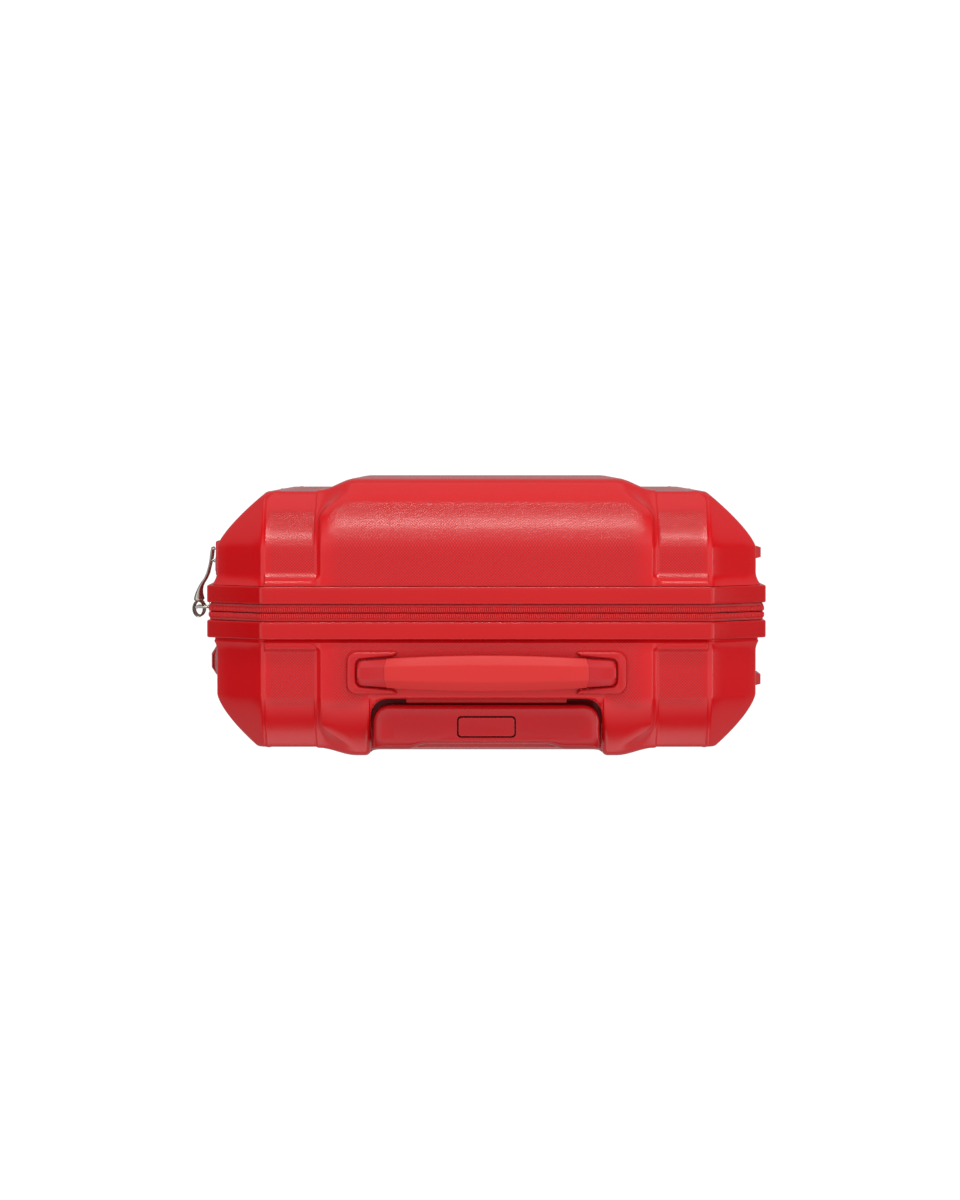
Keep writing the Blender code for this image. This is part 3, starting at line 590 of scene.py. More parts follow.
def loft_piece(name, loops, *finish, ring=False, **more):
    """Skins rings of equal length; a ring piece closes on its first loop, else the ends are capped."""
    count = len(loops[0])
    verts = [point for loop in loops for point in loop]
    faces = ring_faces(count, len(loops), closed=ring)
    if not ring:
        faces += [tuple(range(count)), tuple(range(len(verts) - count, len(verts)))]
    return piece(name, verts, faces, *finish, **more)


def plain(u, v, h):
    return (u, v, h)


def sideways(u, v, h):
    return (h, u, v)


def slab(name, points, radii, levels, place, *finish, count=5, **more):
    """A solid whose rounded outline follows a polygon, skinned through (height, inset) levels."""
    loops = []
    for height, inset in levels:
        outline = rounded_polygon(offset_polygon(points, inset), [r - inset for r in radii], count)
        loops.append([place(u, v, height) for u, v in outline])
    return loft_piece(name, loops, *finish, **more)


def turned(name, profile, centre, axis, count, *finish, **more):
    """Turns a (radius, place along the axis) profile round X or Z, in count steps."""
    loops = []
    for radius, along in profile:
        spots = [(radius * cos(t), radius * sin(t)) for t in circle(count)]
        loops.append([tuple(c + d for c, d in zip(centre, (along, a, b) if axis == "X" else (a, b, along)))
                      for a, b in spots])
    return loft_piece(name, loops, *finish, **more)


def join(first, *others):
    """Adds other meshes to the first, which keeps its material, slot and body."""
    whole = bmesh.new()
    for part in (first, *others):
        whole.from_mesh(part.data)
    whole.to_mesh(first.data)
    whole.free()
    for other in others:
        bpy.data.objects.remove(other)
    return first


def cut_through(obj, points, radii, low, high, place=plain):
    """Cuts a straight opening with a rounded outline into a piece."""
    tool = slab("cutter", points, radii, [(low, 0.0), (high, 0.0)], place, "rear_case", obj.data.materials[0])
    apply_cut(obj, tool)


def cut_box(obj, low, high):
    cut_through(obj, oblong(*low[:2], *high[:2]), [0.0004], low[2], high[2])


def case_outline(half_w, half_h, leg, radius, count=5):
    """(x, z, normal x, normal z) once round the case's octagonal outline, with rounded corners."""
    out, cut = [], leg + radius * 0.41421
    for quarter in range(4):
        c, s = cos(pi / 2 * quarter), sin(pi / 2 * quarter)
        wide, tall = (half_w, half_h) if quarter % 2 == 0 else (half_h, half_w)
        for start, x0, z0 in ((0, wide - radius, tall - cut), (45, wide - cut, tall - radius)):
            for k in range(count + 1):
                angle = radians(start + 45 * k / count)
                nx, nz = cos(angle), sin(angle)
                x, z = x0 + radius * nx, z0 + radius * nz
                out.append((x * c - z * s, x * s + z * c, nx * c - nz * s, nx * s + nz * c))
    return out


def rim_outline(inset):
    """Outline of the rims, inset from their outer face."""
    return case_outline(RIM_HALF_W - inset, RIM_HALF_H - inset, RIM_LEG - 0.586 * inset,
                        max(0.001, RIM_RADIUS - inset))


def rim_ring(section, side):
    """Loops round the rims through the (inset, depth) points of a section."""
    return [[(x, side * depth, CENTRE_Z + z) for x, z, *_ in rim_outline(inset)] for inset, depth in section]


# ---- the handle cup ------------------------------------------------------------------
def surface_top(place):
    """Height of the rear shell's band above a place on the Y axis."""
    profile = []
    for depth, inset, slope, _, _ in wall_profile(REAR):
        rise = mix(BAND_RISE, REAR.band, along_wall(REAR, depth)) - cup_round(CUP_HALF, depth)
        profile.append((depth + sin(slope) * rise, CENTRE_Z + SHELL_HALF_H - inset + cos(slope) * rise))
    for low, high in zip(profile, profile[1:]):
        if place <= high[0]:
            return mix(low[1], high[1], unit((place - low[0]) / (high[0] - low[0])))
    return profile[-1][1]


def make_cup_opening(shell):
    outline = oblong(-CUP_HALF, CUP_FRONT, CUP_HALF, 0.13)
    cut_through(shell, outline, [0.0122, 0.0122, 0.001, 0.001], 0.4958, 0.58)


def make_cup():
    """The well that holds the stowed grip: thin walls under the shell's edge, a floor and a ledge."""
    half, front, wall, low, bend = CUP_HALF - 0.0003, CUP_FRONT + 0.0003, 0.001, 0.4957, 0.0119
    path = [(-half, mix(0.099, front + bend, t / 16), -1.0, 0.0) for t in range(16)]
    for centre_x, start in ((-half + bend, 180), (half - bend, 270)):
        path += [(centre_x + bend * nx, front + bend + bend * ny, nx, ny)
                 for nx, ny in arc_points((0.0, 0.0), 1.0, start, start + 90, 8)]
    path += [(half, mix(front + bend, 0.099, t / 16), 1.0, 0.0) for t in range(1, 17)]
    loops = []
    for x, y, nx, ny in path:
        top, x_out, y_out = max(low + 0.003, surface_top(y) - 0.0019), x + nx * wall, y + ny * wall
        loops.append([(x, y, low), (x, y, top), (x_out, y_out, top), (x_out, y_out, low)])
    well = loft_piece("handle_cup_well", loops, "rear_case", TRIM_RED, ("handle_cup",), sharp=40.0)
    floor = slab("cup_floor", oblong(-half, front, half, CUP_REAR), [bend, bend, 0.001, 0.001],
                 [(low, 0.0), (CUP_FLOOR, 0.0)], plain, "rear_case", TRIM_RED)
    for side in (-0.058, 0.058):
        cut_box(floor, (side - 0.0099, 0.0732, 0.48), (side + 0.0099, 0.086, 0.51))
    ledge = slab("cup_ledge", oblong(-0.056, front - 0.0004, 0.056, front + 0.0034), [0.0008],
                 round_levels(0.5225, 0.5285, 0.0002, 0.0006, 3), plain, "rear_case", TRIM_RED)
    join(well, floor, ledge)


# ---- rims and zipper -----------------------------------------------------------------
def make_rims():
    edge = 0.0011
    section = [(0.013, RIM_START), (0.005, RIM_START),
               *arc_points((edge, RIM_START + edge), edge, 270, 180, 4),
               (0.0, 0.0095), (0.0, 0.015), *arc_points((edge, RIM_END - edge), edge, 180, 90, 4),
               (0.006, RIM_END), (0.0103, RIM_END), (0.0103, RIM_TONGUE), (0.013, RIM_TONGUE)]
    for word, side in (("front", -1), ("rear", 1)):
        loft_piece(word + "_rim_trim", rim_ring(section, side), word + "_case", RIM_RED, (word + "_rim",),
                   ring=True, sharp=50.0)


COIL_PITCH, GUSSET_HALF = 0.0015, 0.128


def zip_route(inset):
    """Even places round the zipper, with the direction out of the case, leaving out the hinge."""
    outline = rim_outline(inset)
    places, travelled = [], 0.0
    for a, b in around(outline):
        first, second = Vector(a[:2]), Vector(b[:2])
        length = (second - first).length
        while travelled < length:
            t = travelled / length
            point = first.lerp(second, t)
            normal = Vector(a[2:]).lerp(Vector(b[2:]), t).normalized()
            if not (point.x < 0 and abs(point.y) < GUSSET_HALF and abs(normal.y) < 0.01):
                places.append((point, normal))
            travelled += COIL_PITCH
        travelled -= length
    return places


def make_zip():
    tape = [(0.0022, 0.0003), (0.0022, 0.0042), (0.0019, 0.0047), (0.002, 0.0053), (0.003, 0.0059),
            (0.006, 0.0061), (0.006, 0.0054), (0.0036, 0.005), (0.0032, 0.0042), (0.0032, 0.0003)]
    stations = [(0.0004, -0.0008), (0.0007, -0.0001), (0.0014, 0.0002), (0.0026, 0.0002), (0.0036, 0.0),
                (0.0042, -0.0006)]
    sides, radius, slant = 6, 0.00052, 0.00045
    for word, side in (("front", -1), ("rear", 1)):
        loft_piece(word + "_zip_tape_cloth", rim_ring(tape, side), word + "_case", ZIP_CLOTH,
                   (word + "_zip_tape",), ring=True, sharp=60.0)
        verts, faces = [], []
        for point, normal in zip_route(0.0017):
            along, start = Vector((-normal.y, normal.x)), len(verts)
            for depth, lift in stations:
                shift = side * (slant * depth / 0.0042 + COIL_PITCH / 4)
                for angle in circle(sides):
                    spot = (point + normal * (lift + radius * sin(angle))
                            + along * (shift + radius * cos(angle)))
                    verts.append((spot.x, side * depth, CENTRE_Z + spot.y))
            faces += ring_faces(sides, len(stations), start)
            faces += [tuple(range(start, start + sides)), tuple(range(len(verts) - sides, len(verts)))]
        piece(word + "_zip_coil", verts, faces, word + "_case", ZIP_COIL, sharp=80.0)


# ---- carry handles -------------------------------------------------------------------
HANDLE_Y = 0.0415
TOP_BASE = CENTRE_Z + SHELL_HALF_H + BAND_RISE


def on_top(u, v, h):
    return (u, HANDLE_Y + v, TOP_BASE + h)


def on_side(u, v, h):
    return (SHELL_HALF_W + h, HANDLE_Y + v, CENTRE_Z - u)


def bar_section(half_w, low, high, grow=0.0):
    """Six sided bar section with soft corners: (across, height) points."""
    w, tall = half_w + grow, high - low
    low, high = low - grow, high + grow
    corners = [(-0.72 * w, low), (0.72 * w, low), (w, low + 0.3 * tall), (w, low + 0.52 * tall),
               (0.47 * w, high), (-0.47 * w, high), (-w, low + 0.52 * tall), (-w, low + 0.3 * tall)]
    return rounded_polygon(corners, [0.0014], 3)


def bar_size(u):
    """(half width, low, high) of the carry handle at u along it, above its base."""
    far = abs(u)
    half_w = 0.0125 - 0.0024 * min(1.0, far / 0.071) ** 2 - 0.0012 * step(0.066, 0.09, far)
    low = mix(0.005, 0.0022, step(0.058, 0.088, far))
    high = mix(0.0129, 0.0074, step(0.055, 0.091, far)) + 0.0001 * max(0.0, 1 - (far / 0.06) ** 2)
    return half_w, low, high


def make_handle(node, place, slot_words):
    """Six sided grip with drawn-in ends, and at each end a glossy cap on a stem."""
    soft_end, end, corner = 0.069, 0.09, 0.0042
    grip = []
    for k in range(25):
        u = mix(-soft_end, soft_end, k / 24)
        half_w, low, high = bar_size(u)
        bulge = 0.0022 * step(0.9, 1.0, abs(u) / soft_end) * sign(u)
        grip.append([place(u + bulge * (1 - (v / half_w) ** 2), v, h)
                     for v, h in bar_section(half_w, low, high)])
    tucked = [(v * 0.8, 0.0016 + h * 0.8) for v, h in bar_section(*bar_size(soft_end))]
    grip = [[place(-soft_end + 0.0012, v, h) for v, h in tucked], *grip,
            [place(soft_end - 0.0012, v, h) for v, h in tucked]]
    loft_piece(node + "_grip", grip, node, GRIP_RED, (node,), sharp=28.0)
    for side, word in zip((-1, 1), slot_words):
        loops = []
        for k in range(7):
            u = mix(soft_end - 0.0018, end - corner, k / 6)
            loops.append((u, bar_section(*bar_size(u), -0.00035)))
        for k in range(1, 6):
            angle = radians(90 * k / 5)
            u, soft = end - corner + corner * sin(angle), corner * (1 - cos(angle))
            half_w, low, high = bar_size(u)
            loops.append((u, bar_section(half_w - soft, low + soft * 0.12, high - soft * 0.22, -0.00035)))
        loops = [[place(side * u, v, h) for v, h in section] for u, section in loops]
        cap = loft_piece(node + "_cap_" + word, loops, node, CAP_RED)
        stem = slab("stem", oblong(side * 0.084 - 0.004, -0.0055, side * 0.084 + 0.004, 0.0055), [0.001],
                    round_levels(-0.0155, 0.004, 0.0008, 0.0002, 2), place, node, CAP_RED)
        join(cap, stem)


def make_bezel(node, side, place):
    """U shaped seat round one end of a carry handle, pillowed, with slanted arm ends."""
    out_u, in_u, arm, half, inner, tail = 0.0975, 0.0904, 0.061, 0.015, 0.011, 0.0091
    points = [(arm, -half), (out_u, -half), (out_u, half), (arm, half), (arm + 0.004, inner),
              (in_u, tail), (in_u, -tail), (arm + 0.004, -inner)]
    radii = [0.0015, 0.0072, 0.0072, 0.0015, 0.0006, 0.0046, 0.0046, 0.0006]
    if side < 0:
        points, radii = [(-u, v) for u, v in reversed(points)], radii[::-1]
    levels = [(0.0003, 0.0), (0.0012, 0.0), (0.002, 0.0001), (0.0028, 0.0004), (0.0034, 0.0009),
              (0.0038, 0.0016)]
    slab(node + "_trim", points, radii, levels, place, "rear_case", TRIM_RED, (node,), sharp=30.0, count=6)


def make_carry_handles():
    for word, place, ends in (("top", on_top, ("left", "right")), ("side", on_side, ("upper", "lower"))):
        make_handle(word + "_handle", place, ends)
        for side, end in zip((-1, 1), ends):
            make_bezel("%s_bezel_%s" % (word, end), side, place)


# ---- trolley handle ------------------------------------------------------------------
def make_trolley_grip():
    """Moulded grip: rounded front corners, soft shoulder, swept rear edge with a finger scoop."""
    low, high = case_box("trolley_grip")
    half, front, rear, bottom, top = (high[0] - low[0]) / 2 + 0.0012, low[1], high[1], low[2], high[2]
    points, radii = oblong(-half, front, half, rear), [0.0125, 0.0125, 0.0012, 0.0012]
    shoulder, tall, sweep, scoop_half, scoop = 0.0078, 0.0044, 0.0095, 0.054, 0.0034
    levels = round_levels(bottom, bottom + 0.002, 0.0012, 0.0, 3)[:4]
    levels += [(mix(bottom, top, t), 0.0) for t in (0.105, 0.12, 0.135, 0.155, 0.17, 0.4, 0.7)]
    levels += [(top - tall * (1 - ny), shoulder * (1 - nx)) for nx, ny in arc_points((0, 0), 1, 0, 90, 9)]
    levels += [(top, shoulder + k * 0.0014) for k in range(1, 5)]

    def swept(u, v, h):
        back, lift = max(0.0, (v - (rear - sweep)) / sweep), (h - bottom) / (top - bottom)
        reach = fade(scoop_half - 0.012, scoop_half, abs(u))
        return (u, v - scoop * reach * back ** 2 * step(0.1, 0.16, lift), h - 0.005 * back ** 2.2 * lift ** 2)

    loops, middle_v = [], (front + rear) / 2
    for height, inset in levels:
        bends = [max(0.0008, r - inset * 0.6) for r in radii]
        outline = rounded_polygon(offset_polygon(points, inset), bends, 8)
        stretch = (rear - 0.38 * inset - middle_v) / (rear - inset - middle_v)
        outline = [(u, v if v < middle_v else middle_v + (v - middle_v) * stretch) for u, v in outline]
        dense = []
        for k, (a, b) in enumerate(around(outline)):
            parts = (40 if k in (8, 26) else 8) if k % 9 == 8 else 1
            dense += [(mix(a[0], b[0], n / parts), mix(a[1], b[1], n / parts)) for n in range(parts)]
        loops.append([swept(u, v, height) for u, v in dense])
    grip = loft_piece("trolley_grip_body", loops, "trolley_stage_2", PEBBLE_RED, ("trolley_grip",))
    low, high = case_box("grip_button")
    middle_v, wide, deep = (low[1] + high[1]) / 2, (high[0] - low[0]) / 2, (high[1] - low[1]) / 2
    button = oblong(-wide, middle_v - deep, wide, middle_v + deep)
    cut_through(grip, offset_polygon(button, -0.001), [0.003], low[2] - 0.0036, top + 0.004)
    soft = grip.modifiers.new("soft", "BEVEL")
    soft.width, soft.segments, soft.angle_limit = 0.00035, 2, radians(50)
    levels = round_levels(low[2] + 0.0005, high[2] - 0.0002, 0.0003, 0.0007)
    slab("grip_button_face", button, [0.0024], levels, plain, "trolley_button", PEBBLE_RED, ("grip_button",),
         count=6)


# ---- CAD nodes that keep their shape -------------------------------------------------
def dress(node, material, bevel=0.0):
    """Gives a CAD node its finish and softens its edges."""
    obj = bpy.data.objects[node]
    obj.data.materials.clear()
    obj.data.materials.append(material)
    if bevel:
        soft = obj.modifiers.new("soft", "BEVEL")
        soft.width, soft.segments, soft.angle_limit = bevel, 3, radians(40.0)
        soft.use_clamp_overlap = True
        obj.data.shade_smooth()


CORNERS = [front + "_" + side for front in ("front", "rear") for side in ("left", "right")]


def make_wheel(node, outer):
    """A grooved tyre on a dished hub with six ribs, and a cap on its outer side, +1 or -1 along X."""
    low, high = case_box(node)
    centre, radius, wide = middle(low, high), (high[2] - low[2]) / 2, (high[0] - low[0]) / 2
    outward = outer * sign(centre[0])
    soft, rim, face = 0.0016, radius * 0.8, wide - 0.0004
    profile = [(rim, -wide + 0.0006), (radius - 0.0022, -wide)]
    profile += [(r, a) for a, r in arc_points((-wide + soft, radius - soft), soft, 180, 90, 3)]
    profile += [(radius, -0.0012), (radius - 0.0004, -0.0008)]
    profile += [(r, -a) for r, a in reversed(profile)]
    turned(node + "_tyre", profile, centre, "X", 64, node, TYRE, (node,), ring=True)
    hub = [(0.0029, -face), (0.006, -face), (0.0068, -face + 0.0022), (rim - 0.004, -face + 0.0026),
           (rim - 0.0024, -face), (rim, -face)]
    hub += [(r, -a) for r, a in reversed(hub)]
    parts = [turned(node + "_hub", hub, centre, "X", 48, node, TRIM_RED, ring=True, sharp=30.0)]
    cap = face - 0.0002
    profile = [(0.0001, cap * outward - 0.0012), (0.005, cap * outward - 0.0012), (0.005, cap * outward),
               (0.0044, (cap + 0.0006) * outward), (0.0001, (cap + 0.0008) * outward)]
    parts.append(turned("cap", profile, centre, "X", 32, node, TRIM_RED))
    for k in range(6):
        turn = Matrix.Rotation(radians(60 * k), 3, "X")
        loops = []
        for r in (0.0062, rim - 0.003):
            spots = [turn @ Vector((a * (face - 0.0005), b * 0.0011, r)) for a, b in oblong(-1, -1, 1, 1)]
            loops.append([tuple(c + d for c, d in zip(centre, spot)) for spot in spots])
        parts.append(loft_piece("rib", loops, node, TRIM_RED))
    join(*parts)


def dress_hardware():
    for corner in CORNERS:
        make_wheel("wheel_%s_a" % corner, -1)
        make_wheel("wheel_%s_b" % corner, 1)
        dress("caster_guard_" + corner, TRIM_RED, 0.0008)
        dress("caster_fork_" + corner, TRIM_RED, 0.0006)
        dress("caster_axle_" + corner, STEEL, 0.0003)
    for node in ("front_upper", "front_lower", "rear_upper", "rear_lower"):
        dress("foot_" + node, TRIM_RED, 0.0012)
    for tube in ("outer", "stage_1", "stage_2"):
        for side in ("left", "right"):
            dress("%s_tube_%s" % (tube, side), ALUMINIUM)
    dress("tube_base", BUCKLE_BLACK, 0.0008)


# ---- cloth: lining, divider, straps and the hinge strip ------------------------------
def two_sided(name, points, columns, body, material, replaced=(), thick=(0.0, 0.0006, 0.0), closed=False):
    """A thin cloth from rows of points: the same rows again, moved by thick, close its other side."""
    rows, count, faces = len(points) // columns, len(points), []
    back = [tuple(c + d for c, d in zip(p, thick)) for p in points]
    for a in range(rows - 1):
        for k in range(columns if closed else columns - 1):
            n = (k + 1) % columns
            quad = (a * columns + k, a * columns + n, (a + 1) * columns + n, (a + 1) * columns + k)
            faces += [quad, tuple(count + i for i in reversed(quad))]
    first, last = list(range(columns)), list(range(count - columns, count))
    edges = [first, last, list(range(0, count, columns)), list(range(columns - 1, count, columns))]
    if closed:
        faces += [tuple(last), tuple(count + i for i in reversed(last))]
        edges = [first + first[:1]]
    for edge in edges:
        faces += [(i, j, count + j, count + i) for i, j in zip(edge, edge[1:])]
    return piece(name, points + back, faces, body, material, replaced, 60.0)


def ripple(size, *place):
    return noise.noise(place) * size


def make_lining():
    """Lining of the rear half: a tray of cloth stitched round the rim, eased over the handle cup."""
    low, high = case_box("rear_lining")
    tray, edge = (0.1715, 0.22125, 0.29725), (0.1826, (high[2] - low[2]) / 2 - 0.0005, (low[2] + high[2]) / 2)
    front, floor, bend = low[1] + 0.0004, high[1] - 0.0009, 0.012
    levels = [(0.0, mix(front, 0.024, t / 6)) for t in range(6)]
    levels += [(0.0, mix(0.024, floor - bend, t / 6)) for t in range(7)]
    levels += [(bend - bend * nx, floor - bend + bend * ny) for nx, ny in arc_points((0, 0), 1, 0, 90, 5)[1:]]
    levels += [(mix(bend, tray[0] - 0.006, t / 15), floor) for t in range(1, 16)]
    points = []
    for inset, depth in levels:
        half_w, half_h, middle_z = (mix(a, b, fade(0.008, 0.024, depth)) for a, b in zip(tray, edge))
        outline = case_outline(half_w - inset, half_h - inset, max(0.002, 0.03 - 0.5 * inset), 0.0018, 3)
        ring = []
        for a, b in around(outline):
            parts = 14 if abs(a[2] - b[2]) + abs(a[3] - b[3]) < 1e-6 else 1
            ring += [(mix(a[0], b[0], t / parts), mix(a[1], b[1], t / parts)) for t in range(parts)]
        for x, z in ring:
            over_cup = fade(0.0885, 0.0985, abs(x)) * step(0.48, 0.4925, middle_z + z)
            place = min(depth, mix(floor, 0.0545, over_cup))
            soft = ripple(0.0011, x * 14, z * 14, depth * 30) + ripple(0.0004, x * 50, z * 50, 3.0)
            fold = -abs(soft) * step(front + 0.004, front + 0.02, depth)
            points.append((x * (1 + fold), place + fold, middle_z + z * (1 + fold)))
    cloth = two_sided("rear_lining_cloth", points, len(ring), "rear_case", LINING, ("rear_lining",),
                      closed=True)


def make_divider():
    """A zipped-in panel of cloth over the front half, eased a little between its edges, and its zipper."""
    low, high = case_box("divider_panel")
    half_w, half_h = (high[0] - low[0]) / 2 - 0.0006, (high[2] - low[2]) / 2 - 0.0006
    _, depth, middle_z = middle(low, high)
    leg, points, columns, rows = 0.034, [], 41, 51
    for j in range(rows):
        v = 2 * j / (rows - 1) - 1
        reach = min(half_w, half_w - leg + (half_h - abs(v) * half_h))
        for i in range(columns):
            u = 2 * i / (columns - 1) - 1
            calm = (1 - u * u) * (1 - v * v)
            ease = ripple(0.0014, u * 2.3, v * 2.8, 0.4) + ripple(0.0004, u * 8, v * 9, 4.0)
            points.append((u * reach, depth - 0.0004 + ease * min(1.0, calm * 4), middle_z + v * half_h))
    panel = two_sided("divider_cloth", points, columns, "front_case", LINING, ("divider_panel",))
    outline = case_outline(half_w - 0.008, half_h - 0.008, 0.031, 0.012, 4)
    track = [[(x + nx * 0.0013 * cos(t), depth + 0.0004 + 0.001 * sin(t), middle_z + z + nz * 0.0013 * cos(t))
              for x, z, nx, nz in outline] for t in circle(5)]
    zipper = loft_piece("divider_zip", track, "front_case", BUCKLE_BLACK, ring=True, sharp=60.0)


def make_straps():
    """Elastic webbing over the packing space, with a little slack towards the buckle."""
    for word, side in (("right", 1), ("left", -1)):
        node = "strap_" + word
        low, high = case_box(node)
        inner, outer = sorted((abs(low[0]), abs(high[0])))
        points, columns = [], 7
        for j in range(31):
            t = j / 30
            slack = sin(pi * t) * (ripple(0.0006, t * 3, side, 2.0) - 0.0016)
            points += [(side * mix(inner, outer, t), (low[1] + high[1]) / 2 - 0.0003 + slack,
                        mix(low[2], high[2], i / 6)) for i in range(columns)]
        band = two_sided(node + "_webbing", points, columns, "rear_case", WEBBING, (node,),
                         (0.0, 0.0009, 0.0))
    dress("strap_buckle", BUCKLE_BLACK, 0.0008)


def make_hinge_strip():
    """Doubled tape that joins the two rims on the -X side; it bulges outwards between the two halves."""
    edge, out, columns = -0.1958, 0.0042, 17
    points = []
    for j in range(61):
        z = mix(-GUSSET_HALF, GUSSET_HALF, j / 60)
        for i in range(columns):
            t = 2 * i / (columns - 1) - 1
            bulge = out * (1 - t * t) ** 0.8 + ripple(0.00025, z * 40, t * 2, 1.0) * (1 - t * t)
            points.append((edge - bulge, 0.0062 * t, CENTRE_Z + z))
    strip = two_sided("hinge_strip", points, columns, "rear_case", ZIP_CLOTH, thick=(0.0006, 0.0, 0.0))
    strip.parent = None
    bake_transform(strip)


# ---- sliders, pulls and lock ---------------------------------------------------------
LOCK_TOP = 0.1912
PULL_HEIGHTS = {"upper": 0.449, "lower": 0.431}


def make_sliders():
    """Runner on the zipper with two slim posts and the pin that the pull turns on."""
    for row, height in PULL_HEIGHTS.items():
        node = "zip_slider_" + row
        parts = [slab(node + "_body", oblong(-0.0052, height - 0.008, 0.0052, height + 0.008), [0.0026],
                      round_levels(0.1959, 0.1976, 0.0001, 0.0007, 3), sideways, node, NICKEL, (node,))]
        for z in (height - 0.0062, height + 0.0062):
            parts.append(slab("post", oblong(-0.002, z - 0.0008, -0.0004, z + 0.0008), [0.0005],
                              round_levels(0.197, 0.2077, 0.0001, 0.0005, 3), sideways, node, NICKEL))
        pin = [(0.0011, -0.0066), (0.0011, 0.0066)]
        join(*parts, turned("pin", pin, (0.2066, -0.0012, height), "Z", 16, node, NICKEL))


def make_pulls():
    """Each pull: a ring round the slider's pin, a slim waisted arm and two prongs at the lock.

    A route's stations are (x, y, half thickness, half height), in millimetres.
    """
    arm = [(195.8, -44, 0.7, 1.6), (196.2, -40.5, 1, 2.1), (196.7, -36.5, 1, 2.1), (197.4, -33, 0.8, 1.9),
           (198.1, -29.8, 0.8, 1.8), (199.3, -25.2, 0.9, 1.8), (201, -21.4, 0.9, 1.8), (202.9, -18.6, 1, 1.8),
           (204.2, -16.3, 1.2, 1.9), (205.1, -13.7, 1.6, 2), (205.7, -11, 2.2, 2.1), (205.85, -8.5, 2.9, 2.2),
           (205.8, -6.6, 3.3, 2.2), (205.8, -5.6, 2.6, 1.6)]
    prongs = [[(196.3, -42.4, 0.6, 1.5), (191.2, -43, 0.6, 1.5)],
              [(197, -34.8, 0.6, 1.5), (191.8, -32.8, 0.6, 1.5)]]
    for row, height in PULL_HEIGHTS.items():
        node, parts = "zip_pull_" + row, []
        for stations in (arm, *prongs):
            route, loops = [tuple(number / 1000 for number in station) for station in stations], []
            for n, (x, y, half, tall) in enumerate(route):
                ahead, back = route[min(n + 1, len(route) - 1)], route[max(n - 1, 0)]
                run = Vector((ahead[0] - back[0], ahead[1] - back[1])).normalized()
                loops.append([(x - run.y * half * cos(t), y + run.x * half * cos(t), height + tall * sin(t))
                              for t in circle(16)])
            name = "arm" if parts else node + "_body"
            parts.append(loft_piece(name, loops, node, NICKEL, (node,), sharp=60.0))
        loops = []
        for nx, ny in ((cos(a), sin(a)) for a in circle(40)):
            loops.append([(0.20576 + (0.0037 + 0.0008 * cos(t)) * nx, (0.0055 + 0.0008 * cos(t)) * ny,
                           height + 0.0022 * sin(t)) for t in circle(12)])
        join(*parts, loft_piece("ring", loops, node, NICKEL, ring=True, sharp=60.0))


def make_lock_opening(shell):
    """Slot through the front shell's side wall for the lock body."""
    low, high = case_box("lock_body")
    cut_through(shell, oblong(low[1] - 0.0004, low[2] - 0.0004, high[1] + 0.0004, high[2] + 0.0004), [0.0012],
                0.17, 0.215, sideways)


def make_dial(node):
    """A dial with sixteen teeth round its edge."""
    low, high = case_box(node)
    (x, y, z), thick, teeth, loops = middle(low, high), (high[2] - low[2]) / 2 - 0.0001, 16, []
    for height, radius in ((-1.0, 0.0032), (-0.8, 0.004), (0.8, 0.004), (1.0, 0.0032)):
        loop = []
        for k, angle in enumerate(circle(teeth * 4)):
            reach = radius - (0.0003 if k % 4 in (0, 1) else 0.0)
            loop.append((x + reach * cos(angle), y + reach * sin(angle), z + height * thick))
        loops.append(loop)
    loft_piece(node + "_ridges", loops, node, DIAL_BLACK, (node,), sharp=25.0)


def make_lock():
    """Plate with openings for the toothed dials, the release button and the pulls, and a key cylinder."""
    low, high = case_box("lock_body")
    levels = round_levels(0.174, LOCK_TOP, 0.0002, 0.0009)
    plate = slab("lock_plate", oblong(*low[1:], *high[1:]), [0.003], levels, sideways, "front_case", TRIM_RED,
                 ("lock_body",))
    key_place = (LOCK_TOP, (low[1] + high[1]) / 2, 0.44)
    for node in ("lock_dial_1", "lock_dial_2", "lock_dial_3"):
        make_dial(node)
        low, high = case_box(node)
        y = (low[1] + high[1]) / 2
        cut_box(plate, (0.1815, y - 0.0044, low[2] - 0.0004), (0.21, y + 0.0044, high[2] + 0.0004))
    low, high = case_box("lock_button")
    cut_box(plate, (0.1855, low[1] - 0.0004, low[2] - 0.0004), (0.21, high[1] + 0.0004, high[2] + 0.0004))
    for height in PULL_HEIGHTS.values():
        cut_box(plate, (0.188, -0.0462, height - 0.0045), (0.21, -0.0398, height + 0.0045))
    slab("lock_button_cap", oblong(*low[1:], *high[1:]), [0.0012],
         round_levels(low[0], LOCK_TOP + 0.0009, 0.0002, 0.0006, 3), sideways, "lock_button", NICKEL,
         ("lock_button",))
    profile = [(0.0001, -0.0002), (0.0026, -0.0002), (0.0027, 0.0006), (0.0031, 0.0009), (0.0042, 0.0009),
               (0.0046, 0.0005), (0.0046, -0.0012), (0.0001, -0.0012)]
    turned("lock_key_ring", profile, key_place, "X", 40, "front_case", NICKEL)


# ---- camera, light and floor ---------------------------------------------------------
CASE_TOP = CENTRE_Z + RIM_HALF_H


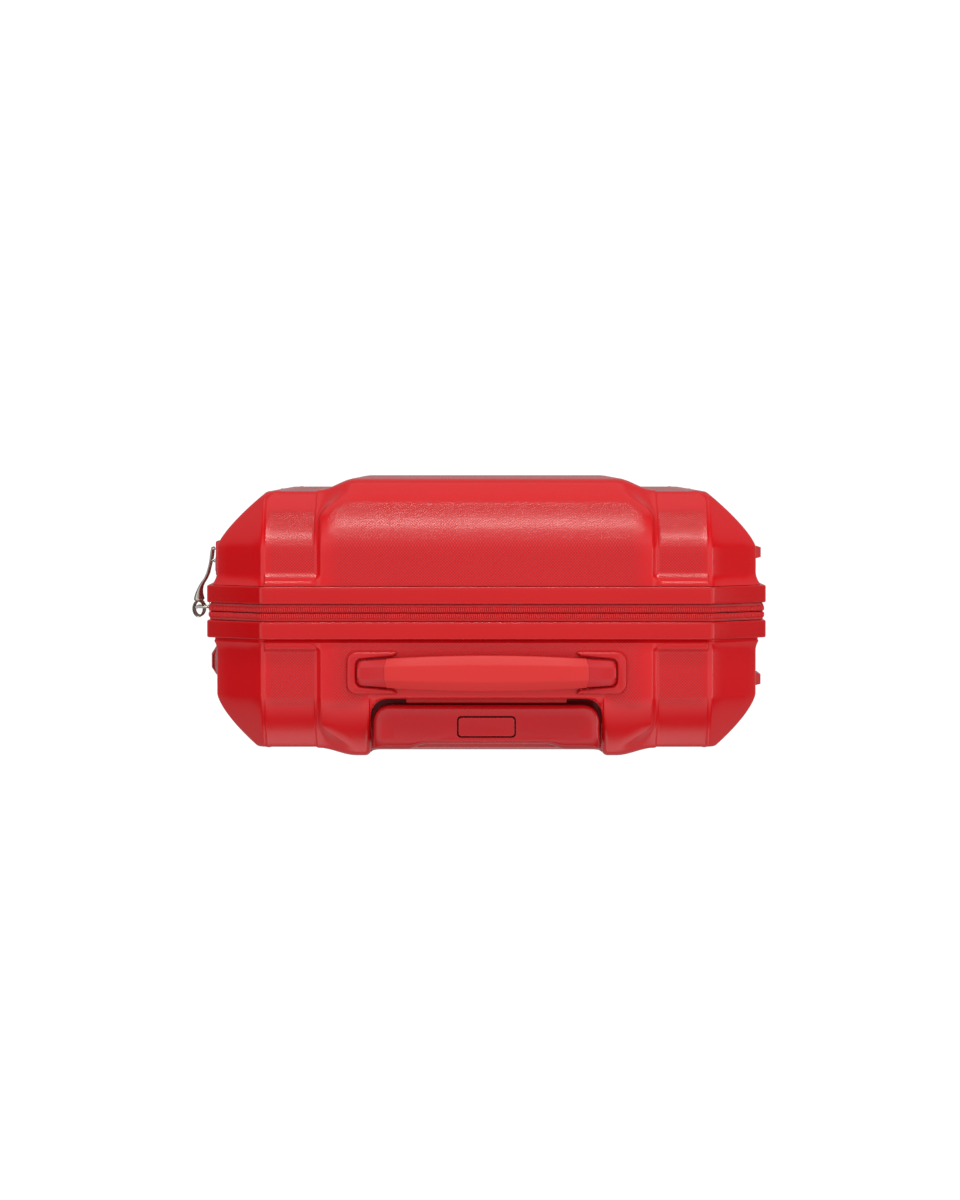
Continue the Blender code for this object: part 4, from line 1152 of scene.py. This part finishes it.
def make_camera():
    """Straight above the case, as in a product shot: image up is -Y, image right is -X."""
    data = bpy.data.cameras.new("camera")
    data.sensor_width, data.lens, data.clip_end = 36.0, 129.7, 50.0
    camera = bpy.data.objects.new("camera", data)
    bpy.context.collection.objects.link(camera)
    aim, tilt, distance = Vector((CASE_X + 0.0045, CASE_Y - 0.0092, CASE_TOP)), radians(1.95), 3.0
    ahead, right = Vector((0.0, sin(tilt), -cos(tilt))), Vector((-1.0, 0.0, 0.0))
    turn = Matrix((right, right.cross(ahead), -ahead)).transposed()
    camera.matrix_world = Matrix.Translation(aim - ahead * distance) @ turn.to_4x4()
    bpy.context.scene.camera = camera


def area_light(name, place, aim_height, size, power, colour=(1.0, 1.0, 1.0)):
    """A rectangular light aimed at a height on the Z axis."""
    data = bpy.data.lights.new(name, "AREA")
    data.shape = "RECTANGLE"
    data.size, data.size_y = size
    data.energy, data.color = power, colour
    light = bpy.data.objects.new(name, data)
    bpy.context.collection.objects.link(light)
    light.location = place
    ahead = Vector((0.0, 0.0, aim_height)) - light.location
    light.rotation_euler = ahead.to_track_quat("-Z", "Y").to_euler()


def make_world():
    """Pale studio: bright overhead, darker towards the horizon, and pale where the camera sees it."""
    world = bpy.context.scene.world = bpy.data.worlds.new("studio")
    graph = Graph(world, "Background")
    _, _, up = graph.split(graph.add("TexCoord", output="Generated"))
    rising, falling = graph.range(up, 0.16, 0.62, 0.02, 1.12), graph.range(up, 0.78, 0.98, 1.12, 0.46)
    dome = graph.math("MINIMUM", rising, falling)
    seen = graph.add("LightPath", output="Is Camera Ray")
    graph.shade(Color=graph.mix(seen, (1.0, 1.0, 1.0), (0.93, 0.93, 0.93)),
                Strength=graph.add("Mix", {"Factor": seen, 2: dome, 3: 1.0}))


def make_studio():
    make_world()
    bpy.context.scene.view_settings.view_transform = "Standard"
    bpy.ops.mesh.primitive_plane_add(size=7.0, location=(0.0, 0.0, 0.0))
    floor = bpy.context.object
    floor.name = "floor"
    material, graph = new_material("floor_white", (0.02, 0.02, 0.02), 0.9, Emission_Color=(1.0, 1.0, 1.0))
    seen = graph.add("LightPath", output="Is Camera Ray")
    glow = graph.math("MULTIPLY", seen.node.outputs["Is Glossy Ray"], 0.3)
    graph.shade(Emission_Strength=graph.math("ADD", graph.range(seen, 0.0, 1.0, 0.06, 1.05), glow))
    floor.data.materials.append(material)
    low_aim = CASE_TOP - 0.05
    area_light("front_strip", (0.0, -2.0, CASE_TOP + 0.74), low_aim, (0.9, 0.15), 13.0, (1.0, 0.96, 0.92))
    area_light("front_low", (0.0, -2.0, CASE_TOP - 0.15), low_aim, (1.8, 0.6), 2.6)
    area_light("rear_fill", (0.0, 2.2, CASE_TOP - 0.22), low_aim, (2.0, 0.45), 4.0)
    area_light("side_fill", (-2.0, 0.1, CASE_TOP + 0.42), low_aim, (1.2, 0.5), 5.0)
    area_light("overhead", (0.0, -0.65, CASE_TOP + 3.3), CASE_TOP, (3.0, 1.2), 2.4)


make_camera()
make_studio()
make_lock_opening(make_shell(FRONT))
make_cup_opening(make_shell(REAR))
make_cup()
make_rims()
make_zip()
make_carry_handles()
make_trolley_grip()
dress_hardware()
make_lock()
make_sliders()
make_pulls()
make_lining()
make_divider()
make_straps()
make_hinge_strip()
